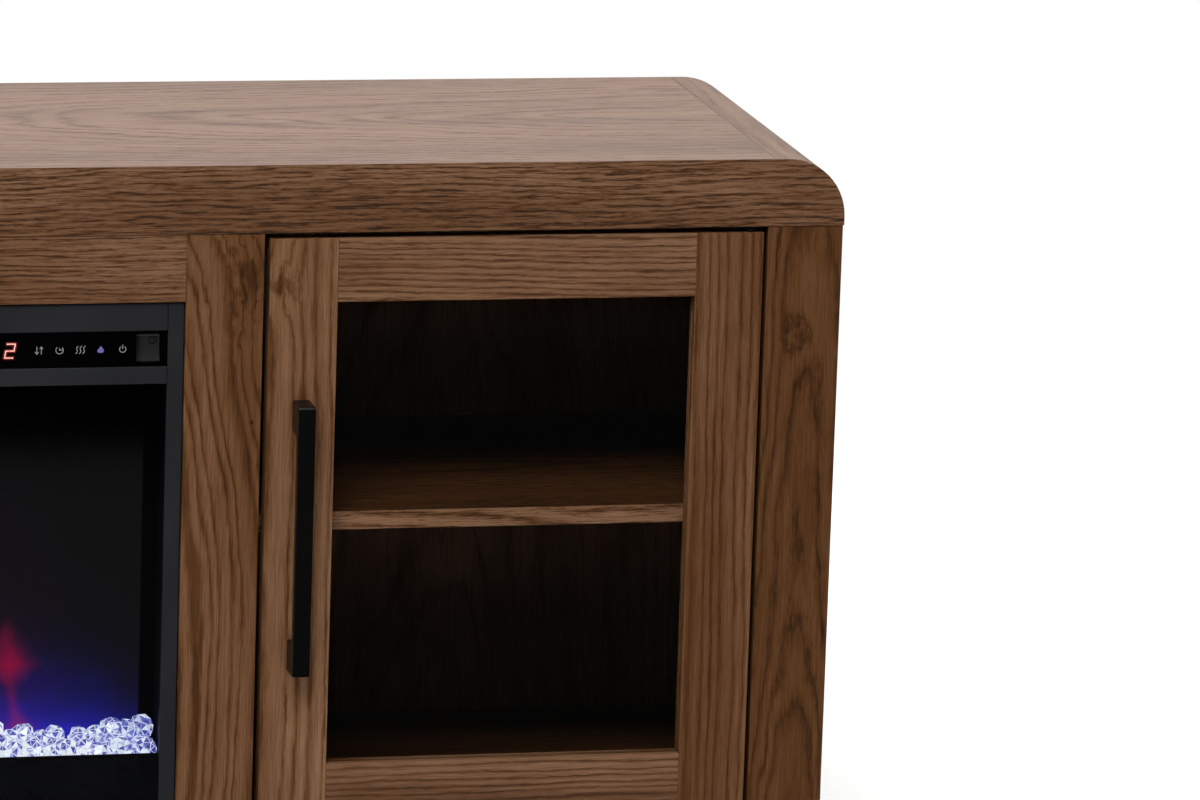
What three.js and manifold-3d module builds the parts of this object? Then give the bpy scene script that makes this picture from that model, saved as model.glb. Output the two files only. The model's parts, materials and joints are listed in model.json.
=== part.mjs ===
// Media cabinet with two glazed side doors and an electric fireplace in the middle.
// Millimetres, +Z up, +X to the right, fronts face -Y, origin under the middle of the cabinet.
import * as THREE from "three";
import { mergeVertices } from "three/addons/utils/BufferGeometryUtils.js";
import Module from "manifold-3d";

const wasm = await Module();
wasm.setup();

// Overall size
const overallLength = 1930;
const overallDepth = 432;
const overallHeight = 762;

// Board thicknesses
const boardThickness = 18;
const frameThickness = 20;
const doorThickness = 19;
const backThickness = 6;

// Cap: the top with its front and back rails and its rounded ends
const capCornerRadius = 57;
const capLip = 8;
const capOverhang = 1;
const topThickness = 25;
const capFrontThickness = 20;
const capBackThickness = 12;
const mouldingFlat = 12;
const mitreGap = 0.3;

// Face frame and carcase
const endPostWidth = 73;
const centrePostWidth = 73.5;
const insertOpeningWidth = 664;
const headerHeight = 64.5;
const toeHeight = 50;
const bottomRailHeight = 66;
const shelfHeight = 306;
const shelfSetback = 6;
const cableHoleRadius = 30;
const cableHoleDrop = 20;

// Doors
const doorHandleGap = 5.5;
const doorHingeGap = 4;
const doorHeadClearance = 3.2;
const doorFootClearance = 2.2;
const stileWidth = 65.5;
const doorRailHeight = 61;
const glassThickness = 4;
const glassRearLip = 7;
const glassGroove = 8;
const glassPlay = 0.3;

// Bar handles
const handleLength = 262;
const handleWidth = 16.5;
const handleProjection = 32;
const handleBarThickness = 10;
const handleFootHeight = 30;
const handleBevel = 2;

// Pivot hinges and magnetic catches
const pivotFromEdge = 12;
const pivotFromFace = 8;
const pivotPinRadius = 4;
const pivotPinDepth = 12;
const pivotCollarRadius = 7;
const pivotPlateLength = 50;
const pivotPlateWidth = 14;
const pivotPlateThickness = 2;
const pivotPlateSetback = 2;
const runningGap = 0.4;
const seatGap = 0.3;
const strikeHeight = 40;
const strikeWidth = 12;
const strikeThickness = 1.5;
const strikeFromEdge = 3;
const strikeFromTop = 23;
const catchMargin = 3;
const catchDepth = 15;

// Electric fireplace: front trims and glass
const insertSetback = 3;
const insertClearance = 1;
const insertFrontThickness = 7;
const sideTrimWidth = 15;
const topTrimHeight = 26.5;
const controlHeight = 34;
const controlSetback = 1;
const middleTrimHeight = 17;
const fireGlassThickness = 4;
const trimPlay = 0.3;
const windowLap = 2.5;

// Electric fireplace: case, fire bed and flame parts
const caseWall = 2;
const caseSideGap = 4;
const bedDepth = 86;
const bedTrayHeight = 8;
const crystalHeight = 24;
const crystalPitch = 26;
const outletPlateRise = 20;
const screenThickness = 4;
const rotorRadius = 20;
const rotorCoreRadius = 6;
const rotorFinThickness = 2;
const rotorShaftRadius = 3;
const rotorClearance = 18;
const rotorEndGap = 6;
const rotorMotorRim = 1;
const rotorMotorLength = 34;
const flameSpace = 50;
const bearingLength = 30;
const bearingWall = 4.6;

// Electric fireplace: fan heater behind the outlet
const heaterLength = 280;
const heaterWall = 1.5;
const heaterFromFront = 30;
const fanRadius = 16;
const fanHubRadius = 5;
const fanShaftRadius = 3;
const fanTipGap = 7.8;
const fanRearGap = 4.5;
const fanBladeThickness = 2;
const fanEndGap = 3;
const fanMotorRim = 1;
const fanMotorLength = 40;
const elementInset = 3;
const elementDepth = 16;
const elementToFan = 29;
const elementBar = 5.4;
const elementSlot = 3.6;
const slotHeight = 5;
const slotBar = 4;
const slotFromBottom = 6;

// Electric fireplace: control strip, rocker switch and power inlet
const rockerWidth = 22;
const rockerMargin = 2.75;
const rockerFromEdge = 7.5;
const rockerPlay = 0.5;
const rockerPivotDepth = 5;
const rockerProud = 0.5;
const rockerBackDepth = 6;
const rockerThrowDegrees = 16;
const inletWidth = 32;
const inletHeight = 24;
const inletDepth = 18;
const inletWall = 4;
const inletFromSide = 90;
const inletFromFloor = 46;

// Counts and the overrun of every cut
const cornerSteps = 14;
const roundSides = 24;
const rotorFinCount = 6;
const fanBladeCount = 10;
const slotCount = 3;
const stoneSides = 5;
const overrun = 5;

// Each stone of the fire bed fills a share of its place, and its height varies by a share.
const stoneWidthShare = 0.48;
const stoneLiftShare = 0.75;
const stoneWaveShare = 0.25;
const stoneWaveShares = [2.3, 1.7];

// Heights that several pieces share
const capHeight = capCornerRadius + capLip;
const capBottom = overallHeight - capHeight;
const floorTop = toeHeight + bottomRailHeight;
const floorBottom = floorTop - boardThickness;
const headerBottom = capBottom - headerHeight;
const shelfTop = floorTop + shelfHeight;
const topUnderside = overallHeight - topThickness;

// Depths that several pieces share, front to back. The handles stand out past the cap, and the
// origin lies midway between their faces and the back of the cap.
const handleOverhang = handleProjection - capOverhang;
const capFront = (handleOverhang - overallDepth) / 2;
const capBack = capFront + overallDepth;
const frameFront = capFront + capOverhang;
const frameBack = frameFront + frameThickness;
const carcaseBack = capBack - capBackThickness;
const backRear = carcaseBack + backThickness;
const dividerFront = Math.max(frameBack, capFront + capFrontThickness);
const sideRear = capBack - capOverhang;

// Distances from the middle that both halves share
const capHalf = overallLength / 2;
const bodyHalf = capHalf - capOverhang;
const sideInner = bodyHalf - boardThickness;
const endPostInner = bodyHalf - endPostWidth;
const insertHalf = insertOpeningWidth / 2;
const centrePostOuter = insertHalf + centrePostWidth;
const dividerInner = centrePostOuter - boardThickness;
const mouldingInner = capHalf - capCornerRadius - mouldingFlat;

const oak = new THREE.MeshStandardMaterial({ color: 0x6b4a31, roughness: 0.55, metalness: 0 });
const oakTop = new THREE.MeshStandardMaterial({ color: 0x7a5a44, roughness: 0.45, metalness: 0 });
const darkBoard = new THREE.MeshStandardMaterial({ color: 0x4a3324, roughness: 0.7, metalness: 0 });
const clearGlass = new THREE.MeshStandardMaterial({
  color: 0xdfe8e6,
  roughness: 0.05,
  metalness: 0,
  transparent: true,
  opacity: 0.25,
});
const fireGlass = new THREE.MeshStandardMaterial({
  color: 0x20242a,
  roughness: 0.05,
  metalness: 0,
  transparent: true,
  opacity: 0.35,
});
const blackMetal = new THREE.MeshStandardMaterial({ color: 0x141312, roughness: 0.4, metalness: 0.8 });
const zincSteel = new THREE.MeshStandardMaterial({ color: 0xa9abac, roughness: 0.35, metalness: 1 });
const charcoalTrim = new THREE.MeshStandardMaterial({ color: 0x27282b, roughness: 0.6, metalness: 0.3 });
const glossBlack = new THREE.MeshStandardMaterial({ color: 0x050505, roughness: 0.12, metalness: 0 });
const caseSteel = new THREE.MeshStandardMaterial({ color: 0x111214, roughness: 0.6, metalness: 0.6 });
const flameFilm = new THREE.MeshStandardMaterial({
  color: 0x121213,
  roughness: 0.5,
  metalness: 0,
  emissive: 0x401060,
  emissiveIntensity: 0.3,
});
const crystal = new THREE.MeshStandardMaterial({ color: 0xc9d6ff, roughness: 0.08, metalness: 0 });
const blackPlastic = new THREE.MeshStandardMaterial({ color: 0x1b1b1d, roughness: 0.5, metalness: 0 });
const brightFoil = new THREE.MeshStandardMaterial({ color: 0xc8c9cb, roughness: 0.2, metalness: 1 });

const cabinet = new THREE.Group();

// A vertex that a unit shape puts at 0 or below lands on the low value, the others on the high one.
function between(unit, low, high) {
  return unit > 0 ? high : low;
}

// A box from its low corner to its high corner, so that neighbours share exact faces.
function block(low, high) {
  const geometry = new THREE.BoxGeometry(1, 1, 1);
  const corners = geometry.getAttribute("position");
  for (let i = 0; i < corners.count; i += 1) {
    const x = between(corners.getX(i), low[0], high[0]);
    const y = between(corners.getY(i), low[1], high[1]);
    const z = between(corners.getZ(i), low[2], high[2]);
    corners.setXYZ(i, x, y, z);
  }
  return geometry;
}

// A flat outline, with its holes, carried straight along one axis from low to high.
// The outline's points are (y, z) along x, (x, z) along y and (x, y) along z.
function prism(axis, outline, low, high, holes = []) {
  const shape = new THREE.Shape(outline.map(([u, v]) => new THREE.Vector2(u, v)));
  for (const hole of holes) {
    shape.holes.push(new THREE.Path(hole.map(([u, v]) => new THREE.Vector2(u, v))));
  }
  const geometry = new THREE.ExtrudeGeometry(shape, { depth: 1, bevelEnabled: false });
  const points = geometry.getAttribute("position");
  for (let i = 0; i < points.count; i += 1) {
    const u = points.getX(i);
    const v = points.getY(i);
    const unit = points.getZ(i);
    if (axis === "x") points.setXYZ(i, between(unit, low, high), u, v);
    if (axis === "y") points.setXYZ(i, u, between(unit, high, low), v);
    if (axis === "z") points.setXYZ(i, u, v, between(unit, low, high));
  }
  return geometry;
}

// Points of an arc, in degrees, both ends included.
function arc(centreU, centreV, radius, startDegrees, endDegrees, steps) {
  return Array.from({ length: steps + 1 }, (_, i) => {
    const angle = THREE.MathUtils.degToRad(
      startDegrees + ((endDegrees - startDegrees) * i) / steps,
    );
    return [centreU + radius * Math.cos(angle), centreV + radius * Math.sin(angle)];
  });
}

function circle(centreU, centreV, radius) {
  return arc(centreU, centreV, radius, 0, 360, roundSides).slice(0, roundSides);
}

function rectangle(lowU, lowV, highU, highV) {
  return [
    [lowU, lowV],
    [highU, lowV],
    [highU, highV],
    [lowU, highV],
  ];
}

// An outline mirrored left to right, turned back so that it still runs the same way round.
function mirrored(outline, side) {
  return side > 0 ? outline : outline.map(([u, v]) => [-u, v]).reverse();
}

// Orders two distances from the middle into a low and a high x on one side.
function span(side, inner, outer) {
  return side > 0 ? [inner, outer] : [-outer, -inner];
}

function toSolid(geometry) {
  const bare = new THREE.BufferGeometry();
  bare.setAttribute("position", geometry.getAttribute("position").clone());
  if (geometry.index) bare.setIndex(geometry.index.clone());
  const merged = mergeVertices(bare);
  return new wasm.Manifold(
    new wasm.Mesh({
      numProp: 3,
      vertProperties: merged.getAttribute("position").array,
      triVerts: new Uint32Array(merged.index.array),
    }),
  );
}

function toGeometry(solid) {
  const mesh = solid.getMesh();
  const geometry = new THREE.BufferGeometry();
  geometry.setAttribute("position", new THREE.BufferAttribute(mesh.vertProperties, 3));
  geometry.setIndex(new THREE.BufferAttribute(mesh.triVerts, 1));
  geometry.computeVertexNormals();
  return geometry;
}

function cut(geometry, ...tools) {
  return toGeometry(tools.reduce((left, tool) => left.subtract(toSolid(tool)), toSolid(geometry)));
}

function join(geometry, ...others) {
  return toGeometry(others.reduce((whole, other) => whole.add(toSolid(other)), toSolid(geometry)));
}

function place(parent, name, geometry, material) {
  const mesh = new THREE.Mesh(geometry, material);
  mesh.name = name;
  parent.add(mesh);
  return mesh;
}

// Cap

// The front outline of the cap with its two rounded upper corners, drawn in by an inset.
function capOutline(inset, bottom) {
  const half = capHalf - inset;
  const top = overallHeight - inset;
  const radius = capCornerRadius - inset;
  const right = arc(half - radius, top - radius, radius, 0, 90, cornerSteps);
  const left = arc(radius - half, top - radius, radius, 90, 180, cornerSteps);
  return [[half, bottom], ...right, ...left, [-half, bottom]];
}

// A board across the cap whose ends and top are mitred: each ring is a depth and an inset.
function capBoard(rings, bottom) {
  const outlines = rings.map(([, inset]) => capOutline(inset, bottom));
  const around = outlines[0].length;
  const last = rings.length - 1;
  const points = [];
  const faces = [];
  rings.forEach(([depth], ring) => {
    for (const [x, z] of outlines[ring]) points.push(x, depth, z);
  });
  for (let ring = 0; ring < last; ring += 1) {
    for (let i = 0; i < around; i += 1) {
      const near = ring * around + i;
      const nearNext = ring * around + ((i + 1) % around);
      const far = near + around;
      const farNext = nearNext + around;
      faces.push(near, far, nearNext, nearNext, far, farNext);
    }
  }
  for (let i = 1; i < around - 1; i += 1) {
    faces.push(0, i, i + 1);
    faces.push(last * around, last * around + i + 1, last * around + i);
  }
  const geometry = new THREE.BufferGeometry();
  geometry.setAttribute("position", new THREE.Float32BufferAttribute(points, 3));
  geometry.setIndex(faces);
  return geometry;
}

const frontMitre = Math.min(capFrontThickness, topThickness);
const backMitre = Math.min(capBackThickness, topThickness);

// The rail's rings run from its face inwards. A depth past the mitre goes straight back.
function railRings(face, inward, thickness, mitre) {
  const rings = [
    [face, 0],
    [face + inward * mitre, mitre],
  ];
  if (thickness > mitre) rings.push([face + inward * thickness, mitre]);
  return rings;
}

// The space a rail takes out of its neighbours: the rail moved inwards by the mitre's gap.
function railSpace(face, inward, mitre) {
  const grown = overrun + mitreGap;
  return [
    [face - inward * overrun, -grown],
    [face + inward * (mitre + mitreGap), mitre],
  ];
}

// Rings that run towards the front are turned round, so that the board's faces point out.
function ordered(rings) {
  return [...rings].sort((a, b) => a[0] - b[0]);
}

place(
  cabinet,
  "cap_front_rail",
  capBoard(ordered(railRings(capFront, 1, capFrontThickness, frontMitre)), capBottom),
  oak,
);
place(
  cabinet,
  "cap_back_rail",
  capBoard(ordered(railRings(capBack, -1, capBackThickness, backMitre)), capBottom),
  oak,
);

const topFront = capFront + mitreGap;
const topBack = capBack - mitreGap;
place(
  cabinet,
  "top_panel",
  prism(
    "x",
    [
      [topFront, overallHeight],
      [topFront + frontMitre, overallHeight - frontMitre],
      [topFront + frontMitre, topUnderside],
      [topBack - backMitre, topUnderside],
      [topBack - backMitre, overallHeight - backMitre],
      [topBack, overallHeight],
    ],
    -mouldingInner,
    mouldingInner,
  ),
  oakTop,
);

const mouldingProfile = [
  [mouldingInner, topUnderside],
  ...arc(
    capHalf - capCornerRadius,
    overallHeight - capCornerRadius,
    capCornerRadius - topThickness,
    90,
    0,
    cornerSteps,
  ),
  [capHalf - topThickness, capBottom],
  [capHalf, capBottom],
  ...arc(
    capHalf - capCornerRadius,
    overallHeight - capCornerRadius,
    capCornerRadius,
    0,
    90,
    cornerSteps,
  ),
  [mouldingInner, overallHeight],
];
for (const [name, side] of [
  ["left", -1],
  ["right", 1],
]) {
  const whole = prism("y", mirrored(mouldingProfile, side), capFront, capBack);
  const front = capBoard(ordered(railSpace(capFront, 1, frontMitre)), capBottom - overrun);
  const back = capBoard(ordered(railSpace(capBack, -1, backMitre)), capBottom - overrun);
  place(cabinet, `${name}_end_moulding`, cut(whole, front, back), oakTop);
}

// Face frame and carcase

place(
  cabinet,
  "header_rail",
  block([-insertHalf, frameFront, headerBottom], [insertHalf, frameBack, capBottom]),
  oak,
);
place(
  cabinet,
  "center_bottom_rail",
  block([-insertHalf, frameFront, toeHeight], [insertHalf, frameBack, floorTop]),
  oak,
);
place(
  cabinet,
  "floor_panel",
  block([-sideInner, frameBack, floorBottom], [sideInner, carcaseBack, floorTop]),
  darkBoard,
);
place(
  cabinet,
  "rear_base_rail",
  block([-sideInner, carcaseBack - boardThickness, 0], [sideInner, carcaseBack, floorBottom]),
  darkBoard,
);

for (const [name, side] of [
  ["left", -1],
  ["right", 1],
]) {
  const [postLow, postHigh] = span(side, endPostInner, bodyHalf);
  const [centreLow, centreHigh] = span(side, insertHalf, centrePostOuter);
  const [railLow, railHigh] = span(side, centrePostOuter, endPostInner);
  const [panelLow, panelHigh] = span(side, sideInner, bodyHalf);
  const [dividerLow, dividerHigh] = span(side, dividerInner, centrePostOuter);
  const [bayLow, bayHigh] = span(side, centrePostOuter, sideInner);
  const [backLow, backHigh] = span(side, dividerInner, sideInner);
  place(
    cabinet,
    `${name}_end_post`,
    block([postLow, frameFront, 0], [postHigh, frameBack, capBottom]),
    oak,
  );
  place(
    cabinet,
    `${name}_center_post`,
    block([centreLow, frameFront, 0], [centreHigh, frameBack, capBottom]),
    oak,
  );
  place(
    cabinet,
    `${name}_bottom_rail`,
    block([railLow, frameFront, toeHeight], [railHigh, frameBack, floorTop]),
    oak,
  );
  place(
    cabinet,
    `${name}_side_panel`,
    block([panelLow, frameBack, 0], [panelHigh, sideRear, capBottom]),
    oak,
  );
  place(
    cabinet,
    `${name}_divider`,
    block([dividerLow, dividerFront, floorTop], [dividerHigh, carcaseBack, topUnderside]),
    darkBoard,
  );
  place(
    cabinet,
    `${name}_shelf`,
    block(
      [bayLow, frameBack + shelfSetback, shelfTop - boardThickness],
      [bayHigh, carcaseBack, shelfTop],
    ),
    oak,
  );
  const holeX = (side * (centrePostOuter + sideInner)) / 2;
  place(
    cabinet,
    `${name}_back_panel`,
    prism("y", rectangle(backLow, floorBottom, backHigh, capBottom), carcaseBack, backRear, [
      circle(holeX, capBottom - cableHoleDrop - cableHoleRadius, cableHoleRadius),
      circle(holeX, shelfTop - boardThickness - cableHoleDrop - cableHoleRadius, cableHoleRadius),
    ]),
    darkBoard,
  );
}

// Doors, each in a group whose origin is on its pivot axis at the height of the door's foot

const doorTopGap = seatGap + pivotPlateThickness + doorHeadClearance;
const doorBottomGap = seatGap + pivotPlateThickness + doorFootClearance;
const doorBottom = floorTop + doorBottomGap;
const doorHeight = capBottom - doorTopGap - doorBottom;
const doorWidth = endPostInner - centrePostOuter - doorHandleGap - doorHingeGap;
const pivotX = endPostInner - doorHingeGap - pivotFromEdge;
const pivotY = frameFront + pivotFromFace;
const doorFace = -pivotFromFace;
const doorRear = doorFace + doorThickness;
const grooveRear = doorRear - glassRearLip;
const grooveFront = grooveRear - glassThickness - 2 * glassPlay;
const hingeEdge = pivotFromEdge;
const handleEdge = hingeEdge - doorWidth;
const glassLow = handleEdge + stileWidth;
const glassHigh = hingeEdge - stileWidth;
const pinHoleRadius = pivotPinRadius + runningGap;
const pinHoleDepth = pivotPinDepth + overrun;

// A stile's section, seen from above, with the groove for the glass in its inner edge.
function stileSection(outerEdge, innerEdge, inward) {
  const grooveFloor = innerEdge - inward * glassGroove;
  const section = [
    [outerEdge, doorFace],
    [innerEdge, doorFace],
    [innerEdge, grooveFront],
    [grooveFloor, grooveFront],
    [grooveFloor, grooveRear],
    [innerEdge, grooveRear],
    [innerEdge, doorRear],
    [outerEdge, doorRear],
  ];
  return inward > 0 ? section : section.reverse();
}

// A rail's section, seen from the side, with the groove in the edge that faces the glass.
function railSection(outerEdge, innerEdge, inward) {
  const grooveFloor = innerEdge - inward * glassGroove;
  return [
    [doorFace, outerEdge],
    [doorRear, outerEdge],
    [doorRear, innerEdge],
    [grooveRear, innerEdge],
    [grooveRear, grooveFloor],
    [grooveFront, grooveFloor],
    [grooveFront, innerEdge],
    [doorFace, innerEdge],
  ];
}

// A bar handle: two feet and a bar in one piece, with bevelled ends.
function handleProfile(bottom) {
  const top = bottom + handleLength;
  const front = doorFace - handleProjection;
  const barRear = front + handleBarThickness;
  return [
    [doorFace, bottom],
    [doorFace, bottom + handleFootHeight],
    [barRear, bottom + handleFootHeight],
    [barRear, top - handleFootHeight],
    [doorFace, top - handleFootHeight],
    [doorFace, top],
    [front + handleBevel, top],
    [front, top - handleBevel],
    [front, bottom + handleBevel],
    [front + handleBevel, bottom],
  ];
}

// A pivot: a screw plate on the cabinet, a collar that carries the door, and a pin in its stile.
function pivot(plateFace, upward, collarEnd, pinEnd) {
  const [plateLow, plateHigh] = [plateFace, plateFace + upward * pivotPlateThickness].sort(
    (a, b) => a - b,
  );
  const plateEnd = pivotFromEdge - pivotPlateSetback;
  const plate = block(
    [plateEnd - pivotPlateLength, -pivotPlateWidth / 2, plateLow],
    [plateEnd, pivotPlateWidth / 2, plateHigh],
  );
  const [collarLow, collarHigh] = [plateFace, collarEnd].sort((a, b) => a - b);
  const collar = prism("z", circle(0, 0, pivotCollarRadius), collarLow, collarHigh);
  const [pinLow, pinHigh] = [plateFace, pinEnd].sort((a, b) => a - b);
  const pin = prism("z", circle(0, 0, pivotPinRadius), pinLow, pinHigh);
  return join(plate, collar, pin);
}

for (const [name, side] of [
  ["left", -1],
  ["right", 1],
]) {
  const door = new THREE.Group();
  door.position.set(side * pivotX, pivotY, doorBottom);
  cabinet.add(door);
  const flip = (outline) => mirrored(outline, side);
  const across = (low, high) => (side > 0 ? [low, high] : [-high, -low]);

  const lowerHole = prism("z", circle(0, 0, pinHoleRadius), -overrun, pinHoleDepth);
  const upperHole = prism(
    "z",
    circle(0, 0, pinHoleRadius),
    doorHeight - pinHoleDepth,
    doorHeight + overrun,
  );
  const hingeStile = prism(
    "z",
    flip(stileSection(hingeEdge, glassHigh, -1)),
    0,
    doorHeight,
  );
  place(door, `${name}_door_hinge_stile`, cut(hingeStile, lowerHole, upperHole), oak);
  place(
    door,
    `${name}_door_handle_stile`,
    prism("z", flip(stileSection(handleEdge, glassLow, 1)), 0, doorHeight),
    oak,
  );
  const [railLow, railHigh] = across(glassLow, glassHigh);
  const paneLap = glassGroove - glassPlay;
  const [paneLow, paneHigh] = across(glassLow - paneLap, glassHigh + paneLap);
  const tongueFront = grooveFront + glassPlay;
  const tongueRear = grooveRear - glassPlay;
  const tongueHeight = doorRailHeight - glassGroove;
  place(
    door,
    `${name}_door_bottom_rail`,
    join(
      prism("x", railSection(0, doorRailHeight, 1), railLow, railHigh),
      block([paneLow, tongueFront, 0], [paneHigh, tongueRear, tongueHeight]),
    ),
    oak,
  );
  place(
    door,
    `${name}_door_top_rail`,
    join(
      prism(
        "x",
        railSection(doorHeight, doorHeight - doorRailHeight, -1).reverse(),
        railLow,
        railHigh,
      ),
      block(
        [paneLow, tongueFront, doorHeight - tongueHeight],
        [paneHigh, tongueRear, doorHeight],
      ),
    ),
    oak,
  );
  place(
    door,
    `${name}_door_glass`,
    block(
      [paneLow, tongueFront, doorRailHeight - paneLap],
      [paneHigh, tongueRear, doorHeight - doorRailHeight + paneLap],
    ),
    clearGlass,
  );
  const handleMiddle = handleEdge + stileWidth / 2;
  const [gripLow, gripHigh] = across(
    handleMiddle - handleWidth / 2,
    handleMiddle + handleWidth / 2,
  );
  place(
    door,
    `${name}_door_handle`,
    prism("x", handleProfile((doorHeight - handleLength) / 2).reverse(), gripLow, gripHigh),
    blackMetal,
  );
  const strikeTop = doorHeight - strikeFromTop;
  const strikeBottom = strikeTop - strikeHeight;
  const strikeStart = handleEdge + strikeFromEdge;
  const strikeEnd = strikeStart + strikeWidth;
  const [strikeLow, strikeHigh] = across(strikeStart, strikeEnd);
  place(
    door,
    `${name}_door_strike`,
    block(
      [strikeLow, doorRear, strikeBottom],
      [strikeHigh, doorRear + strikeThickness, strikeTop],
    ),
    zincSteel,
  );

  const hardware = new THREE.Group();
  hardware.position.copy(door.position);
  cabinet.add(hardware);
  const catchStart = handleEdge - doorHandleGap + seatGap;
  const [catchLow, catchHigh] = across(catchStart, strikeEnd + catchMargin);
  const catchFront = doorRear + strikeThickness + seatGap;
  place(
    hardware,
    `${name}_magnetic_catch`,
    block(
      [catchLow, catchFront, strikeBottom - catchMargin],
      [catchHigh, catchFront + catchDepth, strikeTop + catchMargin],
    ),
    blackPlastic,
  );
  const lower = pivot(seatGap - doorBottomGap, 1, -seatGap, pivotPinDepth);
  const upper = pivot(
    doorHeight + doorTopGap - seatGap,
    -1,
    doorHeight + seatGap,
    doorHeight - pivotPinDepth,
  );
  for (const [level, geometry] of [
    ["lower", lower],
    ["upper", upper],
  ]) {
    const mesh = place(hardware, `${name}_${level}_pivot`, geometry, zincSteel);
    mesh.scale.x = side;
  }
}

// Electric fireplace, in a group whose origin is on the cabinet floor at the fireplace's face

const fireplace = new THREE.Group();
fireplace.position.set(0, frameFront + insertSetback, floorTop);
cabinet.add(fireplace);

const fireTop = headerBottom - floorTop - insertClearance;
const fireHalf = insertHalf - insertClearance;
const trimInner = fireHalf - sideTrimWidth;
const topTrimBottom = fireTop - topTrimHeight;
const controlBottom = topTrimBottom - controlHeight;
const middleTrimBottom = controlBottom - middleTrimHeight;
const plateHalf = trimInner - trimPlay;
const caseFront = insertFrontThickness;
const caseHalf = insertHalf - caseSideGap;
const caseTop = fireTop - insertClearance;
const caseInner = caseHalf - caseWall;
const caseInnerFront = caseFront + caseWall;
const screenFront = caseInnerFront + bedDepth;
const rotorY = screenFront + screenThickness + rotorClearance + rotorRadius;
const caseInnerBack = rotorY + rotorRadius + rotorClearance + flameSpace;
const caseBack = caseInnerBack + caseWall;

// The heater's duct goes round the fan, and the firebox floor and the outlet plate go above it.
const caseFloor = seatGap + caseWall;
const heaterBottom = caseFloor + seatGap;
const fanZ = heaterBottom + heaterWall + fanTipGap + fanRadius;
const heaterTop = fanZ + fanRadius + fanTipGap + heaterWall;
const fireboxFloor = heaterTop + seatGap + caseWall;
const outletHeight = fireboxFloor + outletPlateRise;
const rotorZ = fireboxFloor + rotorClearance + rotorRadius;

for (const [name, side] of [
  ["left", -1],
  ["right", 1],
]) {
  const [low, high] = span(side, trimInner, fireHalf);
  place(
    fireplace,
    `fireplace_${name}_trim`,
    block([low, 0, seatGap], [high, caseFront - seatGap, fireTop]),
    charcoalTrim,
  );
}
place(
  fireplace,
  "fireplace_top_trim",
  block([-plateHalf, 0, topTrimBottom], [plateHalf, caseFront - seatGap, fireTop]),
  charcoalTrim,
);
place(
  fireplace,
  "fireplace_middle_trim",
  block([-plateHalf, 0, middleTrimBottom], [plateHalf, caseFront - seatGap, controlBottom - trimPlay]),
  charcoalTrim,
);

// The outlet plate has its louvre slots near the bottom.
const slotPitch = slotHeight + slotBar;
const slotHalf = heaterLength / 2 - heaterWall;
const slots = Array.from({ length: slotCount }, (_, i) => {
  const bottom = slotFromBottom + i * slotPitch;
  return rectangle(-slotHalf, bottom, slotHalf, bottom + slotHeight);
});
place(
  fireplace,
  "fireplace_outlet_plate",
  prism(
    "y",
    rectangle(-plateHalf, seatGap, plateHalf, outletHeight - trimPlay),
    insertFrontThickness - fireGlassThickness,
    caseFront - seatGap,
    slots,
  ),
  glossBlack,
);
place(
  fireplace,
  "firebox_glass",
  block(
    [-plateHalf, caseFront - seatGap - fireGlassThickness, outletHeight],
    [plateHalf, caseFront - seatGap, middleTrimBottom - trimPlay],
  ),
  fireGlass,
);

// Control strip with the well that the rocker switch turns in
const rockerHigh = plateHalf - rockerFromEdge;
const rockerLow = rockerHigh - rockerWidth;
const rockerHeight = controlHeight - 2 * rockerMargin;
const rockerMiddle = (topTrimBottom + controlBottom) / 2;
const rockerWell = rectangle(
  rockerLow - rockerPlay,
  rockerMiddle - rockerHeight / 2 - rockerPlay,
  rockerHigh + rockerPlay,
  rockerMiddle + rockerHeight / 2 + rockerPlay,
);
place(
  fireplace,
  "fireplace_control_strip",
  prism(
    "y",
    rectangle(-plateHalf, controlBottom, plateHalf, topTrimBottom - trimPlay),
    controlSetback,
    caseFront - seatGap,
    [rockerWell],
  ),
  glossBlack,
);

// The rocker's ends are round about its pivot, and its front is two flats that meet there.
// At rest the upper flat lies in the strip's face and the lower one stands out.
const rockerRadius = rockerHeight / 2;
const rockerFace = rockerPivotDepth + rockerProud;
const upperReach = Math.sqrt(rockerRadius ** 2 - rockerFace ** 2);
const throwAngle = THREE.MathUtils.degToRad(rockerThrowDegrees);
const lean = Math.sin(throwAngle) * rockerFace;
const lowerRun = Math.sqrt(lean ** 2 + rockerRadius ** 2 - rockerFace ** 2) - lean;
const upperStart = THREE.MathUtils.radToDeg(Math.atan2(upperReach, -rockerFace));
const backStart = THREE.MathUtils.radToDeg(Math.acos(rockerBackDepth / rockerRadius));
const lowerFront = [
  -rockerFace - lowerRun * Math.sin(throwAngle),
  -lowerRun * Math.cos(throwAngle),
];
const lowerStart = THREE.MathUtils.radToDeg(Math.atan2(lowerFront[1], lowerFront[0]));
const rockerProfile = [
  [-rockerFace, 0],
  ...arc(0, 0, rockerRadius, lowerStart, -backStart, cornerSteps),
  ...arc(0, 0, rockerRadius, backStart, upperStart, cornerSteps),
];
const rocker = place(
  fireplace,
  "power_rocker",
  prism("x", rockerProfile, rockerLow, rockerHigh),
  blackPlastic,
);
rocker.position.set(0, controlSetback + rockerPivotDepth, rockerMiddle);

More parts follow.
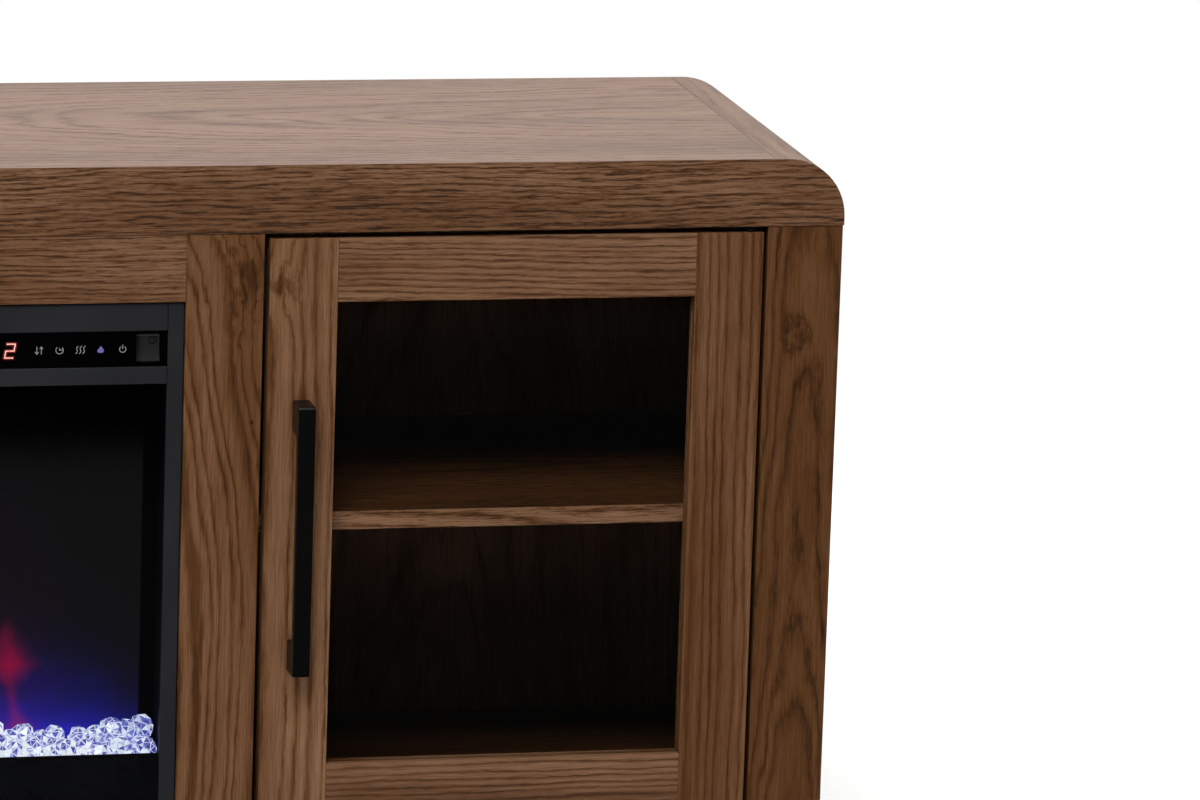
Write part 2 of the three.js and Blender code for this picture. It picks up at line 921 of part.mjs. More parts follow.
// Sheet-metal case: its front is open between the outlet and the top trim, and it has a shelf as
// the firebox floor, slots for the heater's air, rear vents and one bearing
const bearingEnd = -caseInner + bearingLength;
const shell = block([-caseHalf, caseFront, seatGap], [caseHalf, caseBack, caseTop]);
const firebox = block(
  [-caseInner, caseInnerFront, fireboxFloor],
  [caseInner, caseInnerBack, caseTop - caseWall],
);
const heaterSpace = block(
  [-caseInner, caseInnerFront, caseFloor],
  [caseInner, caseInnerBack, fireboxFloor - caseWall],
);
const fireWindow = block(
  [-caseInner, caseFront - overrun, outletHeight + windowLap],
  [caseInner, caseInnerFront + overrun, topTrimBottom + windowLap],
);
const airWindow = block(
  [-slotHalf, caseFront - overrun, slotFromBottom],
  [slotHalf, caseInnerFront + overrun, slotFromBottom + slotCount * slotPitch],
);
const rearVents = Array.from({ length: slotCount }, (_, i) => {
  const bottom = (fireboxFloor + caseTop) / 2 + i * slotPitch;
  return block(
    [-slotHalf, caseInnerBack - overrun, bottom],
    [slotHalf, caseBack + overrun, bottom + slotHeight],
  );
});
const rotorBore = rotorShaftRadius + runningGap;
const bearing = prism(
  "x",
  circle(rotorY, rotorZ, rotorBore + bearingWall),
  -caseInner - caseWall / 2,
  bearingEnd,
);
const bearingBore = prism(
  "x",
  circle(rotorY, rotorZ, rotorBore),
  -caseInner + caseWall,
  bearingEnd + overrun,
);
const openCase = cut(
  shell,
  firebox,
  heaterSpace,
  fireWindow,
  airWindow,
  ...rearVents,
);
place(fireplace, "fireplace_case", cut(join(openCase, bearing), bearingBore), caseSteel);

place(
  fireplace,
  "flame_screen",
  block(
    [-caseInner + seatGap, screenFront, fireboxFloor + seatGap],
    [caseInner - seatGap, screenFront + screenThickness, caseTop - caseWall - seatGap],
  ),
  flameFilm,
);

// Fire bed: a tray heaped with crystals, whose tops follow a wavy grid of peaks.
const bedHalf = caseInner - seatGap;
const bedFront = caseInnerFront + seatGap;
const bedBack = screenFront - seatGap;
const bedBottom = fireboxFloor + seatGap;
const trayTop = bedBottom + bedTrayHeight;
const bedColumns = Math.ceil((2 * bedHalf) / crystalPitch);
const bedRows = Math.ceil((bedBack - bedFront) / crystalPitch);
const stepX = (2 * bedHalf) / bedColumns;
const stepY = (bedBack - bedFront) / bedRows;
const tray = block([-bedHalf, bedFront, bedBottom], [bedHalf, bedBack, trayTop]);
const peaks = [];
for (let column = 0; column < bedColumns; column += 1) {
  for (let row = 0; row < bedRows; row += 1) {
    const wave = Math.sin(column * stoneWaveShares[0] + row * stoneWaveShares[1]);
    const lift = crystalHeight * (stoneLiftShare + stoneWaveShare * wave);
    const stone = new THREE.ConeGeometry(1, 1, stoneSides);
    stone.rotateX(Math.PI / 2);
    stone.rotateZ(column + row);
    stone.translate(0, 0, 1 / 2);
    stone.scale(stepX * stoneWidthShare, stepY * stoneWidthShare, bedTrayHeight / 2 + lift);
    stone.translate(
      stepX * (column + 1 / 2) - bedHalf,
      stepY * (row + 1 / 2) + bedFront,
      bedBottom + bedTrayHeight / 2,
    );
    peaks.push(stone);
  }
}
place(fireplace, "crystal_bed", join(tray, ...peaks), crystal);

// Flame rotor: a core with fins between its bearing and its motor, turning about x
const motorFace = caseInner - seatGap - rotorMotorLength;
const rotorLow = bearingEnd + rotorEndGap;
const rotorHigh = motorFace - rotorEndGap;
const rotorCore = prism("x", circle(0, 0, rotorCoreRadius), rotorLow, rotorHigh);
const rotorShaft = prism(
  "x",
  circle(0, 0, rotorShaftRadius),
  bearingEnd - bearingLength / 2,
  motorFace + rotorEndGap,
);
const rotorFins = Array.from({ length: rotorFinCount / 2 }, (_, i) => {
  const fin = block(
    [rotorLow, -rotorRadius, -rotorFinThickness / 2],
    [rotorHigh, rotorRadius, rotorFinThickness / 2],
  );
  fin.rotateX((i * 2 * Math.PI) / rotorFinCount);
  return fin;
});
const flameRotor = place(
  fireplace,
  "flame_rotor",
  join(rotorCore, rotorShaft, ...rotorFins),
  brightFoil,
);
flameRotor.position.set(0, rotorY, rotorZ);

const rotorMotor = place(
  fireplace,
  "rotor_motor",
  cut(
    prism("x", circle(0, 0, rotorRadius + rotorMotorRim), motorFace, caseInner - seatGap),
    prism("x", circle(0, 0, rotorBore), motorFace - overrun, motorFace + 2 * rotorEndGap),
  ),
  zincSteel,
);
rotorMotor.position.copy(flameRotor.position);

// Fan heater: a duct open to the front, with the fan's motor on its right end
const heaterHalf = heaterLength / 2;
const ductInnerHalf = heaterHalf - heaterWall;
const heaterFront = caseInnerFront + heaterFromFront;
const elementFront = heaterFront + elementInset;
const elementBack = elementFront + elementDepth;
const fanY = elementBack + elementToFan + fanRadius;
const heaterInnerBack = fanY + fanRadius + fanRearGap;
const heaterBack = heaterInnerBack + heaterWall;
const fanBore = fanShaftRadius + runningGap;
const duct = cut(
  block([-heaterHalf, heaterFront, heaterBottom], [heaterHalf, heaterBack, heaterTop]),
  block(
    [-ductInnerHalf, heaterFront - overrun, heaterBottom + heaterWall],
    [ductInnerHalf, heaterInnerBack, heaterTop - heaterWall],
  ),
  prism("x", circle(fanY, fanZ, fanBore), -heaterHalf - overrun, overrun - ductInnerHalf),
);
const fanMotor = prism(
  "x",
  circle(fanY, fanZ, fanRadius + fanMotorRim),
  ductInnerHalf,
  heaterHalf + fanMotorLength,
);
const motorBore = prism(
  "x",
  circle(fanY, fanZ, fanBore),
  ductInnerHalf - overrun,
  heaterHalf + 2 * fanEndGap,
);
place(fireplace, "heater_duct", cut(join(duct, fanMotor), motorBore), caseSteel);

const fanLow = fanEndGap - ductInnerHalf;
const fanHigh = ductInnerHalf - fanEndGap;
const fanHub = prism("x", circle(0, 0, fanHubRadius), fanLow, fanHigh);
const fanShaft = prism("x", circle(0, 0, fanShaftRadius), -heaterHalf, heaterHalf + fanEndGap);
const fanBlades = Array.from({ length: fanBladeCount / 2 }, (_, i) => {
  const blade = block(
    [fanLow, -fanRadius, -fanBladeThickness / 2],
    [fanHigh, fanRadius, fanBladeThickness / 2],
  );
  blade.rotateX((i * 2 * Math.PI) / fanBladeCount);
  return blade;
});
const fan = place(fireplace, "heater_fan", join(fanHub, fanShaft, ...fanBlades), blackPlastic);
fan.position.set(0, fanY, fanZ);

// Heating element: a bar with upright slots that the fan blows through, across the duct's mouth
const elementHalf = ductInnerHalf - seatGap;
const elementBottom = heaterBottom + heaterWall + seatGap;
const elementTop = heaterTop - heaterWall - seatGap;
const elementPitch = elementBar + elementSlot;
const elementSlotCount = Math.floor((2 * elementHalf - 2 * elementBar) / elementPitch);
const elementStart = (elementBar - elementSlotCount * elementPitch) / 2;
const elementSlots = Array.from({ length: elementSlotCount }, (_, i) => {
  const low = elementStart + i * elementPitch;
  return block(
    [low, elementFront - overrun, elementBottom + elementBar],
    [low + elementSlot, elementBack + overrun, elementTop - elementBar],
  );
});
const elementBody = block(
  [-elementHalf, elementFront, elementBottom],
  [elementHalf, elementBack, elementTop],
);
place(fireplace, "heating_element", cut(elementBody, ...elementSlots), zincSteel);

// Power inlet on the back of the case: a block with a socket open to the rear
const inletLeft = caseHalf - inletFromSide - inletWidth / 2;
const inletRight = inletLeft + inletWidth;
const inletTop = inletFromFloor + inletHeight / 2;
const inletBottom = inletTop - inletHeight;
const inletFront = caseBack + seatGap;
const inletBack = inletFront + inletDepth;
const inletBody = block(
  [inletLeft, inletFront, inletBottom],
  [inletRight, inletBack, inletTop],
);
const inletSocket = block(
  [inletLeft + inletWall, inletFront + inletWall, inletBottom + inletWall],
  [inletRight - inletWall, inletBack + overrun, inletTop - inletWall],
);
place(fireplace, "power_inlet", cut(inletBody, inletSocket), blackPlastic);

export default cabinet;
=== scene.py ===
import bpy
import bmesh
import json
import math
import random
from mathutils import Matrix, Vector


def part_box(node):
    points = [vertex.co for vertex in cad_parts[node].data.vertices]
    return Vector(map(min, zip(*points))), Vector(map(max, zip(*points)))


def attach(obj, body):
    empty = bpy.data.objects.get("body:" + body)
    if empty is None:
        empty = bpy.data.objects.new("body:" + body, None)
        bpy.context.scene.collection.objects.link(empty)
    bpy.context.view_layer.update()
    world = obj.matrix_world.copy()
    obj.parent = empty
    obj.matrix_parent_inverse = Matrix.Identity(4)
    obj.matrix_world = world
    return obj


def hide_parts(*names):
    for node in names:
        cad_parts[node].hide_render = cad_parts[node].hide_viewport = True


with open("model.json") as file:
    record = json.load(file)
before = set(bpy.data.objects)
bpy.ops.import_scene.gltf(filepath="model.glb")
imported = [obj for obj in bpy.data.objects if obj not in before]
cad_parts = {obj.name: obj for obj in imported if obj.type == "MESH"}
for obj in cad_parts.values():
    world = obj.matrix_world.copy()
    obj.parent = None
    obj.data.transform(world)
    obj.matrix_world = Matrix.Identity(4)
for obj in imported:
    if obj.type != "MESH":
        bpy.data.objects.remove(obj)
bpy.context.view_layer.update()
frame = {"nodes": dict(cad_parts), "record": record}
nodes = frame["nodes"]
bodies = frame["record"]["behaviour"]["bodies"]
bodyOf = {node: body for body, members in bodies.items() for node in members}
slotOf = {part["node"]: part["material_slot"] for part in frame["record"]["subparts"]}
sides = {"left": -1, "right": 1}
print("cabinet frame loaded,", len(nodes), "nodes")


# Small helpers for node trees.

def fill(tree, node, inputs):
    # each input gets a link where its value is a socket, and else the value itself
    for key, value in inputs.items():
        if isinstance(value, bpy.types.NodeSocket):
            tree.links.new(value, node.inputs[key])
        else:
            node.inputs[key].default_value = value


def addNode(tree, kind, inputs=None, **settings):
    node = tree.nodes.new(kind)
    for key, value in settings.items():
        setattr(node, key, value)
    fill(tree, node, inputs or {})
    return node


def calc(tree, operation, a, b=0.0, c=0.0, clamp=False):
    inputs = {0: a, 1: b, 2: c}
    return addNode(tree, "ShaderNodeMath", inputs, operation=operation, use_clamp=clamp).outputs[0]


def sums(tree):
    # times, plus, minus and over, for one tree
    def sumOf(operation):
        return lambda a, b, clamp=False: calc(tree, operation, a, b, clamp=clamp)
    return (sumOf(operation) for operation in ("MULTIPLY", "ADD", "SUBTRACT", "DIVIDE"))


def vectorOf(tree, x=0.0, y=0.0, z=0.0):
    return addNode(tree, "ShaderNodeCombineXYZ", {0: x, 1: y, 2: z}).outputs[0]


def partsOf(tree, vector):
    return addNode(tree, "ShaderNodeSeparateXYZ", {0: vector}).outputs


def vectorCalc(tree, operation, a, b):
    return addNode(tree, "ShaderNodeVectorMath", {0: a, 1: b}, operation=operation).outputs[0]


def scaled(tree, vector, factors):
    return vectorCalc(tree, "MULTIPLY", vector, factors)


def resized(tree, vector, factor):
    return addNode(tree, "ShaderNodeVectorMath", {0: vector, 3: factor}, operation="SCALE").outputs[0]


def lengthOf(tree, vector):
    return addNode(tree, "ShaderNodeVectorMath", {0: vector}, operation="LENGTH").outputs["Value"]


def objectPlace(tree):
    return addNode(tree, "ShaderNodeTexCoord").outputs["Object"]


def noiseOf(tree, vector, scale=1.0, detail=2.0, roughness=0.5):
    inputs = {"Vector": vector, "Scale": scale, "Detail": detail, "Roughness": roughness}
    return addNode(tree, "ShaderNodeTexNoise", inputs).outputs["Fac"]


def mixValue(tree, factor, a, b):
    return addNode(tree, "ShaderNodeMix", {0: factor, 2: a, 3: b}).outputs[0]


def mixColor(tree, factor, a, b):
    a, b = (value if isinstance(value, bpy.types.NodeSocket) else (*value, 1) for value in (a, b))
    return addNode(tree, "ShaderNodeMix", {0: factor, 6: a, 7: b}, data_type="RGBA").outputs[2]


def mixShader(tree, factor, a, b):
    return addNode(tree, "ShaderNodeMixShader", {0: factor, 1: a, 2: b}).outputs[0]


def ramp(tree, factor, stops):
    node = addNode(tree, "ShaderNodeValToRGB", {0: factor})
    elements = node.color_ramp.elements
    while len(elements) < len(stops):
        elements.new(0.5)
    for element, (position, value) in zip(elements, stops):
        element.position = position
        element.color = (value, value, value, 1) if isinstance(value, (int, float)) else (*value, 1)
    return node.outputs[0]


def rangeOf(tree, value, low, high, newLow=0.0, newHigh=1.0, smooth=True):
    inputs = {0: value, 1: low, 2: high, 3: newLow, 4: newHigh}
    kind = "SMOOTHSTEP" if smooth else "LINEAR"
    return addNode(tree, "ShaderNodeMapRange", inputs, interpolation_type=kind).outputs[0]


def randomOf(tree, low, high, seed):
    # a random number, or a random vector, for each point
    isVector = isinstance(low, tuple)
    first = 0 if isVector else 2
    inputs = {first: low, first + 1: high, "Seed": seed}
    kind = "FLOAT_VECTOR" if isVector else "FLOAT"
    return addNode(tree, "FunctionNodeRandomValue", inputs, data_type=kind).outputs[0 if isVector else 1]


def newGroup(name, kind, inputs, outputs):
    # each row names a socket, its kind and, where it has one, its default
    group = bpy.data.node_groups.new(name, kind)
    for way, rows in (("INPUT", inputs), ("OUTPUT", outputs)):
        for label, socketKind, *default in rows:
            socket = group.interface.new_socket(label, in_out=way, socket_type="NodeSocket" + socketKind)
            if default:
                socket.default_value = default[0]
    return group, addNode(group, "NodeGroupInput").outputs


def newRepeat(name, inputs, material):
    # a group that makes one mesh of many pieces in one material, from the mesh that it's given
    rows = (("Geometry", "Geometry"), *inputs, (material, "Material"))
    return newGroup(name, "GeometryNodeTree", rows, [("Geometry", "Geometry")])


def realized(group, instances, material):
    real = addNode(group, "GeometryNodeRealizeInstances", {0: instances})
    finish = addNode(group, "GeometryNodeSetMaterial", {"Geometry": real.outputs[0], "Material": material})
    addNode(group, "NodeGroupOutput", {0: finish.outputs[0]})


def newMaterial(name):
    material = bpy.data.materials.new(name)
    material.use_nodes = True
    tree = material.node_tree
    surface = tree.nodes["Principled BSDF"]
    return material, tree, surface


def bumpOf(tree, height, strength, distance):
    inputs = {"Height": height, "Strength": strength, "Distance": distance}
    return addNode(tree, "ShaderNodeBump", inputs).outputs[0]


# Meshes and pieces.

def linked(name, data):
    thing = bpy.data.objects.new(name, data)
    bpy.context.scene.collection.objects.link(thing)
    return thing


def meshFrom(sheet, name, outward=True):
    if outward:
        bmesh.ops.recalc_face_normals(sheet, faces=sheet.faces)
    mesh = bpy.data.meshes.new(name)
    sheet.to_mesh(mesh)
    sheet.free()
    return mesh


def skirt(sheet, near, far):
    # faces between two loops of as many points
    for index in range(len(near)):
        sheet.faces.new((near[index - 1], near[index], far[index], far[index - 1]))


def lathed(sheet, profile, count, closed=False):
    # a ring of points round the Y axis for each radius and depth of the profile, with faces between them
    turns = [math.tau * index / count for index in range(count)]
    rings = [[sheet.verts.new((math.sin(turn) * wide, deep, math.cos(turn) * wide)) for turn in turns]
             for wide, deep in profile]
    for low, high in zip(rings, rings[1:] + rings[:1] if closed else rings[1:]):
        skirt(sheet, low, high)
    return rings


def boxMesh(name, low, high):
    sheet = bmesh.new()
    bmesh.ops.create_cube(sheet, size=1)
    for vertex in sheet.verts:
        vertex.co = [a if value < 0 else b for value, a, b in zip(vertex.co, low, high)]
    return meshFrom(sheet, name, outward=False)


def cleanMesh(node, name):
    # a copy of a node's mesh, with its loose triangles merged into flat faces
    sheet = bmesh.new()
    sheet.from_mesh(nodes[node].data)
    bmesh.ops.remove_doubles(sheet, verts=sheet.verts, dist=2e-6)
    bmesh.ops.dissolve_limit(sheet, angle_limit=math.radians(0.5), verts=sheet.verts, edges=sheet.edges)
    sheet.verts.index_update()
    mesh = bpy.data.meshes.new(name)
    points = [tuple(vertex.co) for vertex in sheet.verts]
    mesh.from_pydata(points, [], [[vertex.index for vertex in face.verts] for face in sheet.faces])
    sheet.free()
    return mesh


def newPiece(name, mesh, material, body, smooth=False):
    piece = linked(name, mesh)
    if material:
        mesh.materials.clear()
        mesh.materials.append(material)
    for face in mesh.polygons:
        face.use_smooth = smooth
    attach(piece, body)
    return piece


def softened(node, material, width, segments=2, stretch=None):
    # stands for a node, with rounded edges
    mesh = cleanMesh(node, node + "_finished")
    if stretch:
        for vertex in mesh.vertices:
            vertex.co = stretch(vertex.co)
    piece = newPiece(node + "_finished", mesh, material, bodyOf[node], smooth=True)
    bevel = piece.modifiers.new("edges", "BEVEL")
    bevel.width = width
    bevel.segments = segments
    bevel.limit_method = "ANGLE"
    bevel.angle_limit = math.radians(32)
    bevel.harden_normals = True
    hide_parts(node)


def dressed(node, material):
    target = nodes[node]
    target.data.materials.clear()
    target.data.materials.append(material)
    for face in target.data.polygons:
        face.material_index = 0


def grown(name, base, group, values, body, replaced=None):
    # runs the node group once on the base mesh and keeps what it makes
    holder = linked(name + "_source", base)
    modifier = holder.modifiers.new("repeat", "NODES")
    modifier.node_group = group
    for item in group.interface.items_tree:
        if item.in_out == "INPUT" and item.name in values:
            modifier[item.identifier] = values[item.name]
    graph = bpy.context.evaluated_depsgraph_get()
    mesh = bpy.data.meshes.new_from_object(holder.evaluated_get(graph), depsgraph=graph)
    mesh.name = name
    bpy.data.objects.remove(holder)
    piece = newPiece(name, mesh, None, body)
    if replaced:
        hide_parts(replaced)
    return piece


# Camera.

cameraLook = {
    "place": (-0.949, -7.2235, 2.151),
    "yaw": -13.46,
    "pitch": -12.64,
    "roll": 1.91,
    "lens": 234.2,
    "sensor": 36,
    "reach": 60,
}


def makeCamera(look):
    camera = linked("camera", bpy.data.cameras.new("camera"))
    camera.data.lens = look["lens"]
    camera.data.sensor_width = look["sensor"]
    camera.data.sensor_fit = "HORIZONTAL"
    camera.data.clip_end = look["reach"]
    # an unturned camera looks down, and 90 degrees bring it level
    turns = ((look["yaw"], "Z"), (90 + look["pitch"], "X"), (look["roll"], "Z"))
    yaw, pitch, roll = (Matrix.Rotation(math.radians(turn), 4, axis) for turn, axis in turns)
    camera.matrix_world = Matrix.Translation(look["place"]) @ yaw @ pitch @ roll
    bpy.context.scene.camera = camera


makeCamera(cameraLook)
print("camera placed")


# Studio: floor, backdrop light and lamps.

studio = {
    "floorRadius": 4.2,
    "floorSides": 96,
    "floorHeight": -0.0005,
    "floorFade": (1.6, 3.6),
    "floorColor": (0.86, 0.86, 0.86),
    "floorRoughness": 0.8,
    "floorGloss": 0.1,
    "ambient": 0.1,
    "frontGlow": 0.02,
    "glowTurn": (-0.15, 0.25),
    "lamps": {
        "keyLamp": {"place": (-0.6, -2.6, 3.6), "aim": (0.3, 0, 0.4), "size": (2.4, 1.6), "power": 170},
        "leftLamp": {"place": (-3.4, -0.2, 2.6), "aim": (0, 0, 0.4), "size": (1.6, 1.6), "power": 90},
        "rightLamp": {"place": (3.4, 0.2, 2.6), "aim": (0, 0, 0.4), "size": (1.6, 1.6), "power": 90},
        "backLamp": {"place": (0.6, 3.2, 2.6), "aim": (0.2, 0, 0.4), "size": (5.4, 1.6), "power": 108},
    },
}
white = (1, 1, 1, 1)


def makeWorld(setup):
    # seen and glass rays find white, and glossy rays a backdrop that's bright behind the cabinet alone
    world = bpy.data.worlds.new("studio")
    bpy.context.scene.world = world
    world.use_nodes = True
    tree = world.node_tree
    tree.nodes.clear()
    path = addNode(tree, "ShaderNodeLightPath").outputs
    behind = partsOf(tree, addNode(tree, "ShaderNodeTexCoord").outputs["Generated"])[1]
    glow = rangeOf(tree, behind, *setup["glowTurn"], setup["frontGlow"], 1.0)
    seen = calc(tree, "MAXIMUM", path["Is Camera Ray"], path["Is Transmission Ray"])
    strength = mixValue(tree, seen, mixValue(tree, path["Is Glossy Ray"], setup["ambient"], glow), 1.0)
    background = addNode(tree, "ShaderNodeBackground", {"Color": white, "Strength": strength})
    addNode(tree, "ShaderNodeOutputWorld", {0: background.outputs[0]})


def makeFloor(setup):
    sheet = bmesh.new()
    bmesh.ops.create_circle(sheet, cap_ends=True, segments=setup["floorSides"], radius=setup["floorRadius"])
    floor = linked("floor", meshFrom(sheet, "floor", outward=False))
    floor.location.z = setup["floorHeight"]
    material, tree, surface = newMaterial("pale floor")
    fill(tree, surface, {"Base Color": (*setup["floorColor"], 1), "Roughness": setup["floorRoughness"],
                         "Specular IOR Level": setup["floorGloss"]})

    def glowing(strength):
        return addNode(tree, "ShaderNodeEmission", {"Color": white, "Strength": strength}).outputs[0]

    fade = rangeOf(tree, lengthOf(tree, objectPlace(tree)), *setup["floorFade"])
    path = addNode(tree, "ShaderNodeLightPath").outputs
    clear = addNode(tree, "ShaderNodeBsdfTransparent").outputs[0]
    edge = mixShader(tree, path["Is Camera Ray"], clear, glowing(1.0))
    plain = mixShader(tree, fade, surface.outputs[0], edge)
    whole = mixShader(tree, path["Is Glossy Ray"], plain, glowing(setup["frontGlow"]))
    tree.links.new(whole, tree.nodes["Material Output"].inputs[0])
    floor.data.materials.append(material)


def makeLamps(setup):
    for name, lamp in setup["lamps"].items():
        light = bpy.data.lights.new(name, "AREA")
        light.shape = "RECTANGLE"
        light.size, light.size_y = lamp["size"]
        light.energy = lamp["power"]
        holder = linked(name, light)
        holder.location = lamp["place"]
        ahead = Vector(lamp["aim"]) - Vector(lamp["place"])
        holder.rotation_euler = ahead.to_track_quat("-Z", "Y").to_euler()
        holder.visible_camera = False


makeWorld(studio)
makeFloor(studio)
makeLamps(studio)
bpy.context.scene.view_settings.view_transform = "Standard"
print("studio lit")


# Oak.

# The grain is solid: rings round a pith line, read in a board's own across, depth and along.
oakLook = {
    "light": 0.186,
    "dark": 0.4,
    "pore": 0.22,
    "stain": ((0.0, (0, 0, 0)), (0.34, (0.085, 0.0317, 0.0085)), (1.0, (0.25, 0.134, 0.073))),
    "stainScale": 4.0,  # the stain's colours run over tones from 0 to 0.25
    "roughness": 0.58,
    "poreRoughness": 0.25,
    "lyingGloss": 0.2,
    "uprightGloss": 0.09,
    "bump": 0.0003,
    "bumpStrength": 0.6,
    "ragged": 0.0022,
    "unevenness": 2.2,
    "unevenRings": 48.0,
    "knotRagged": 3.2,
    "knotPush": 1.6,
    # how dark the wood is across one ring
    "ring": ((0.0, 0.55), (0.12, 0.2), (0.34, 0.0), (0.58, 0.12), (0.74, 0.48), (0.86, 0.95), (0.94, 1.0),
             (1.0, 0.55)),
    # how fine each noise is across, into and along a board, and its detail
    "noises": {
        "sway": ((8, 8, 2.3), 1.5), "tremble": ((60, 60, 17), 2), "ragged": ((420, 420, 90), 2),
        "knot": ((150, 150, 70), 2), "patch": ((130, 130, 20), 3), "region": ((26, 26, 6), 2),
        "longPore": ((640, 640, 27), 2), "shortPore": ((1100, 1100, 95), 1), "fibre": ((1300, 1300, 30), 2),
        "cloud": ((16, 16, 1.6), 3),
    },
}
oakInputs = (
    ("Place", "Vector", (0, 0, 0)),
    *((label, "Float", value) for label, value in (
        ("Tone", 1.0), ("Ring Width", 0.006), ("Pith Across", 0.1), ("Pith Depth", 0.05),
        ("Lean Across", 0.0), ("Lean Depth", 0.0), ("Bend", 0.0), ("Sway", 0.02), ("Tremble", 0.004),
        ("Broken", 0.35), ("Line Strength", 0.9), ("Pore Strength", 0.4), ("Knot Across", 9.0),
        ("Knot Along", 9.0), ("Knot Size", 0.01), ("Pin Across", 9.0), ("Pin Along", 9.0))),
)


def makeOakGroup(look):
    outputs = (("Color", "Color"), ("Roughness", "Float"), ("Height", "Float"))
    group, given = newGroup("oak grain", "ShaderNodeTree", oakInputs, outputs)
    place = given["Place"]
    across, depth, along = partsOf(group, place)
    times, plus, minus, over = sums(group)

    def noise(key, roughness=0.5):
        scale, detail = look["noises"][key]
        return noiseOf(group, scaled(group, place, scale), detail=detail, roughness=roughness)

    def towards(share, a, b):
        return plus(a, times(share, minus(b, a)))

    def farFrom(spotAcross, spotAlong, squash):
        farAlong = times(minus(along, given[spotAlong]), squash)
        return lengthOf(group, vectorOf(group, minus(across, given[spotAcross]), farAlong))

    # slow sway of the grain, then a tremble, then the ragged edge of each line
    swayed = times(minus(noise("sway"), 0.5), given["Sway"])
    trembled = times(minus(noise("tremble"), 0.5), given["Tremble"])
    trembled = plus(trembled, times(minus(noise("ragged"), 0.5), look["ragged"]))

    # a knot pushes the rings aside
    knotWarp = times(minus(noise("knot"), 0.5), look["knotRagged"])
    knotRatio = plus(over(farFrom("Knot Across", "Knot Along", 0.6), given["Knot Size"]), knotWarp)
    knotPush = calc(group, "EXPONENT", times(times(knotRatio, knotRatio), -0.12))
    pushed = times(knotPush, times(given["Knot Size"], look["knotPush"]))

    # distance to the pith line, and with it the place within a ring
    lean = plus(given["Lean Across"], times(along, given["Bend"]))
    pithAcross = minus(minus(across, given["Pith Across"]), times(along, lean))
    pithDepth = minus(minus(depth, given["Pith Depth"]), times(along, given["Lean Depth"]))
    radius = lengthOf(group, vectorOf(group, pithAcross, pithDepth))
    radius = plus(plus(radius, swayed), plus(trembled, pushed))
    uneven = noiseOf(group, vectorOf(group, times(radius, look["unevenRings"])), detail=1)
    phase = plus(over(radius, given["Ring Width"]), times(uneven, look["unevenness"]))
    line = ramp(group, calc(group, "FRACT", phase), look["ring"])
    patch = rangeOf(group, noise("patch"), 0.38, 0.6)
    region = rangeOf(group, noise("region"), 0.35, 0.6, 0.3, 1.2)
    line = times(line, towards(given["Broken"], 1.0, times(patch, region)))

    # open pores: long ones in rows along the dark lines, short ones everywhere
    longPore = times(rangeOf(group, noise("longPore", 0.65), 0.5, 0.64), plus(times(line, 0.8), 0.3))
    shortPore = times(rangeOf(group, noise("shortPore"), 0.56, 0.68), plus(times(line, 0.5), 0.22))
    pore = times(plus(longPore, shortPore), given["Pore Strength"], clamp=True)
    fibre = noise("fibre")

    tone = towards(times(line, given["Line Strength"], clamp=True), 1.0, look["dark"])
    tone = times(tone, rangeOf(group, knotRatio, 0.2, 1.5, 0.45, 1.0))
    tone = times(tone, rangeOf(group, farFrom("Pin Across", "Pin Along", 0.7), 0.0008, 0.0024, 0.3, 1.0))
    tone = towards(pore, tone, look["pore"])
    tone = times(tone, rangeOf(group, fibre, 0.25, 0.75, 0.76, 1.24, smooth=False))
    tone = times(tone, rangeOf(group, noise("cloud"), 0.32, 0.68, 0.79, 1.21))
    tone = times(tone, times(given["Tone"], look["light"]))
    color = ramp(group, times(tone, look["stainScale"]), look["stain"])
    roughness = plus(look["roughness"], times(pore, look["poreRoughness"]))
    height = minus(times(fibre, 0.35), plus(pore, times(line, 0.4)))
    addNode(group, "NodeGroupOutput", {0: color, 1: roughness, 2: height})
    return group


oakGroup = makeOakGroup(oakLook)

# Which object axes run across, into and along a board.
grainAxes = {"x": (2, 1, 0), "z": (0, 1, 2), "flatX": (1, 2, 0), "flatY": (0, 2, 1), "sideZ": (1, 0, 2)}


def oakMaterial(name, axes, tone, ringWidth, pith, others):
    look = {"Tone": tone, "Ring Width": ringWidth, "Pith Across": pith[0], "Pith Depth": pith[1], **others}
    material, tree, surface = newMaterial(name)
    seed = random.Random(name)
    apart = partsOf(tree, objectPlace(tree))
    turned = vectorOf(tree, *(apart[axis] for axis in grainAxes[axes]))
    grain = addNode(tree, "ShaderNodeGroup", node_tree=oakGroup)
    # far apart along the grain, so that no two boards share a figure
    slide = seed.uniform(-3, 3) if look.get("free", True) else 0
    tree.links.new(vectorCalc(tree, "ADD", turned, (0, 0, slide)), grain.inputs["Place"])
    for key, value in look.items():
        if key in grain.inputs:
            grain.inputs[key].default_value = value
    # the rings stay where they'd be without that slide
    for way in ("Across", "Depth"):
        grain.inputs["Pith " + way].default_value -= slide * grain.inputs["Lean " + way].default_value
    # painted light and shade: in front of the limit the board gets a lighter, lit tone, and behind it keeps a
    # darker tone as painted shade
    if "band" in look:
        limit, litEdgeTone = look["band"]
        before = calc(tree, "LESS_THAN", apart[1], limit)
        edgeLitTone = calc(tree, "MULTIPLY_ADD", before, litEdgeTone - tone, tone)
        tree.links.new(edgeLitTone, grain.inputs["Tone"])
    usualGloss = oakLook["uprightGloss" if axes in ("z", "sideZ") else "lyingGloss"]
    fill(tree, surface, {
        "Base Color": grain.outputs["Color"], "Roughness": grain.outputs["Roughness"],
        "Specular IOR Level": look.get("gloss", usualGloss),
        "Normal": bumpOf(tree, grain.outputs["Height"], oakLook["bumpStrength"], oakLook["bump"])})
    return material
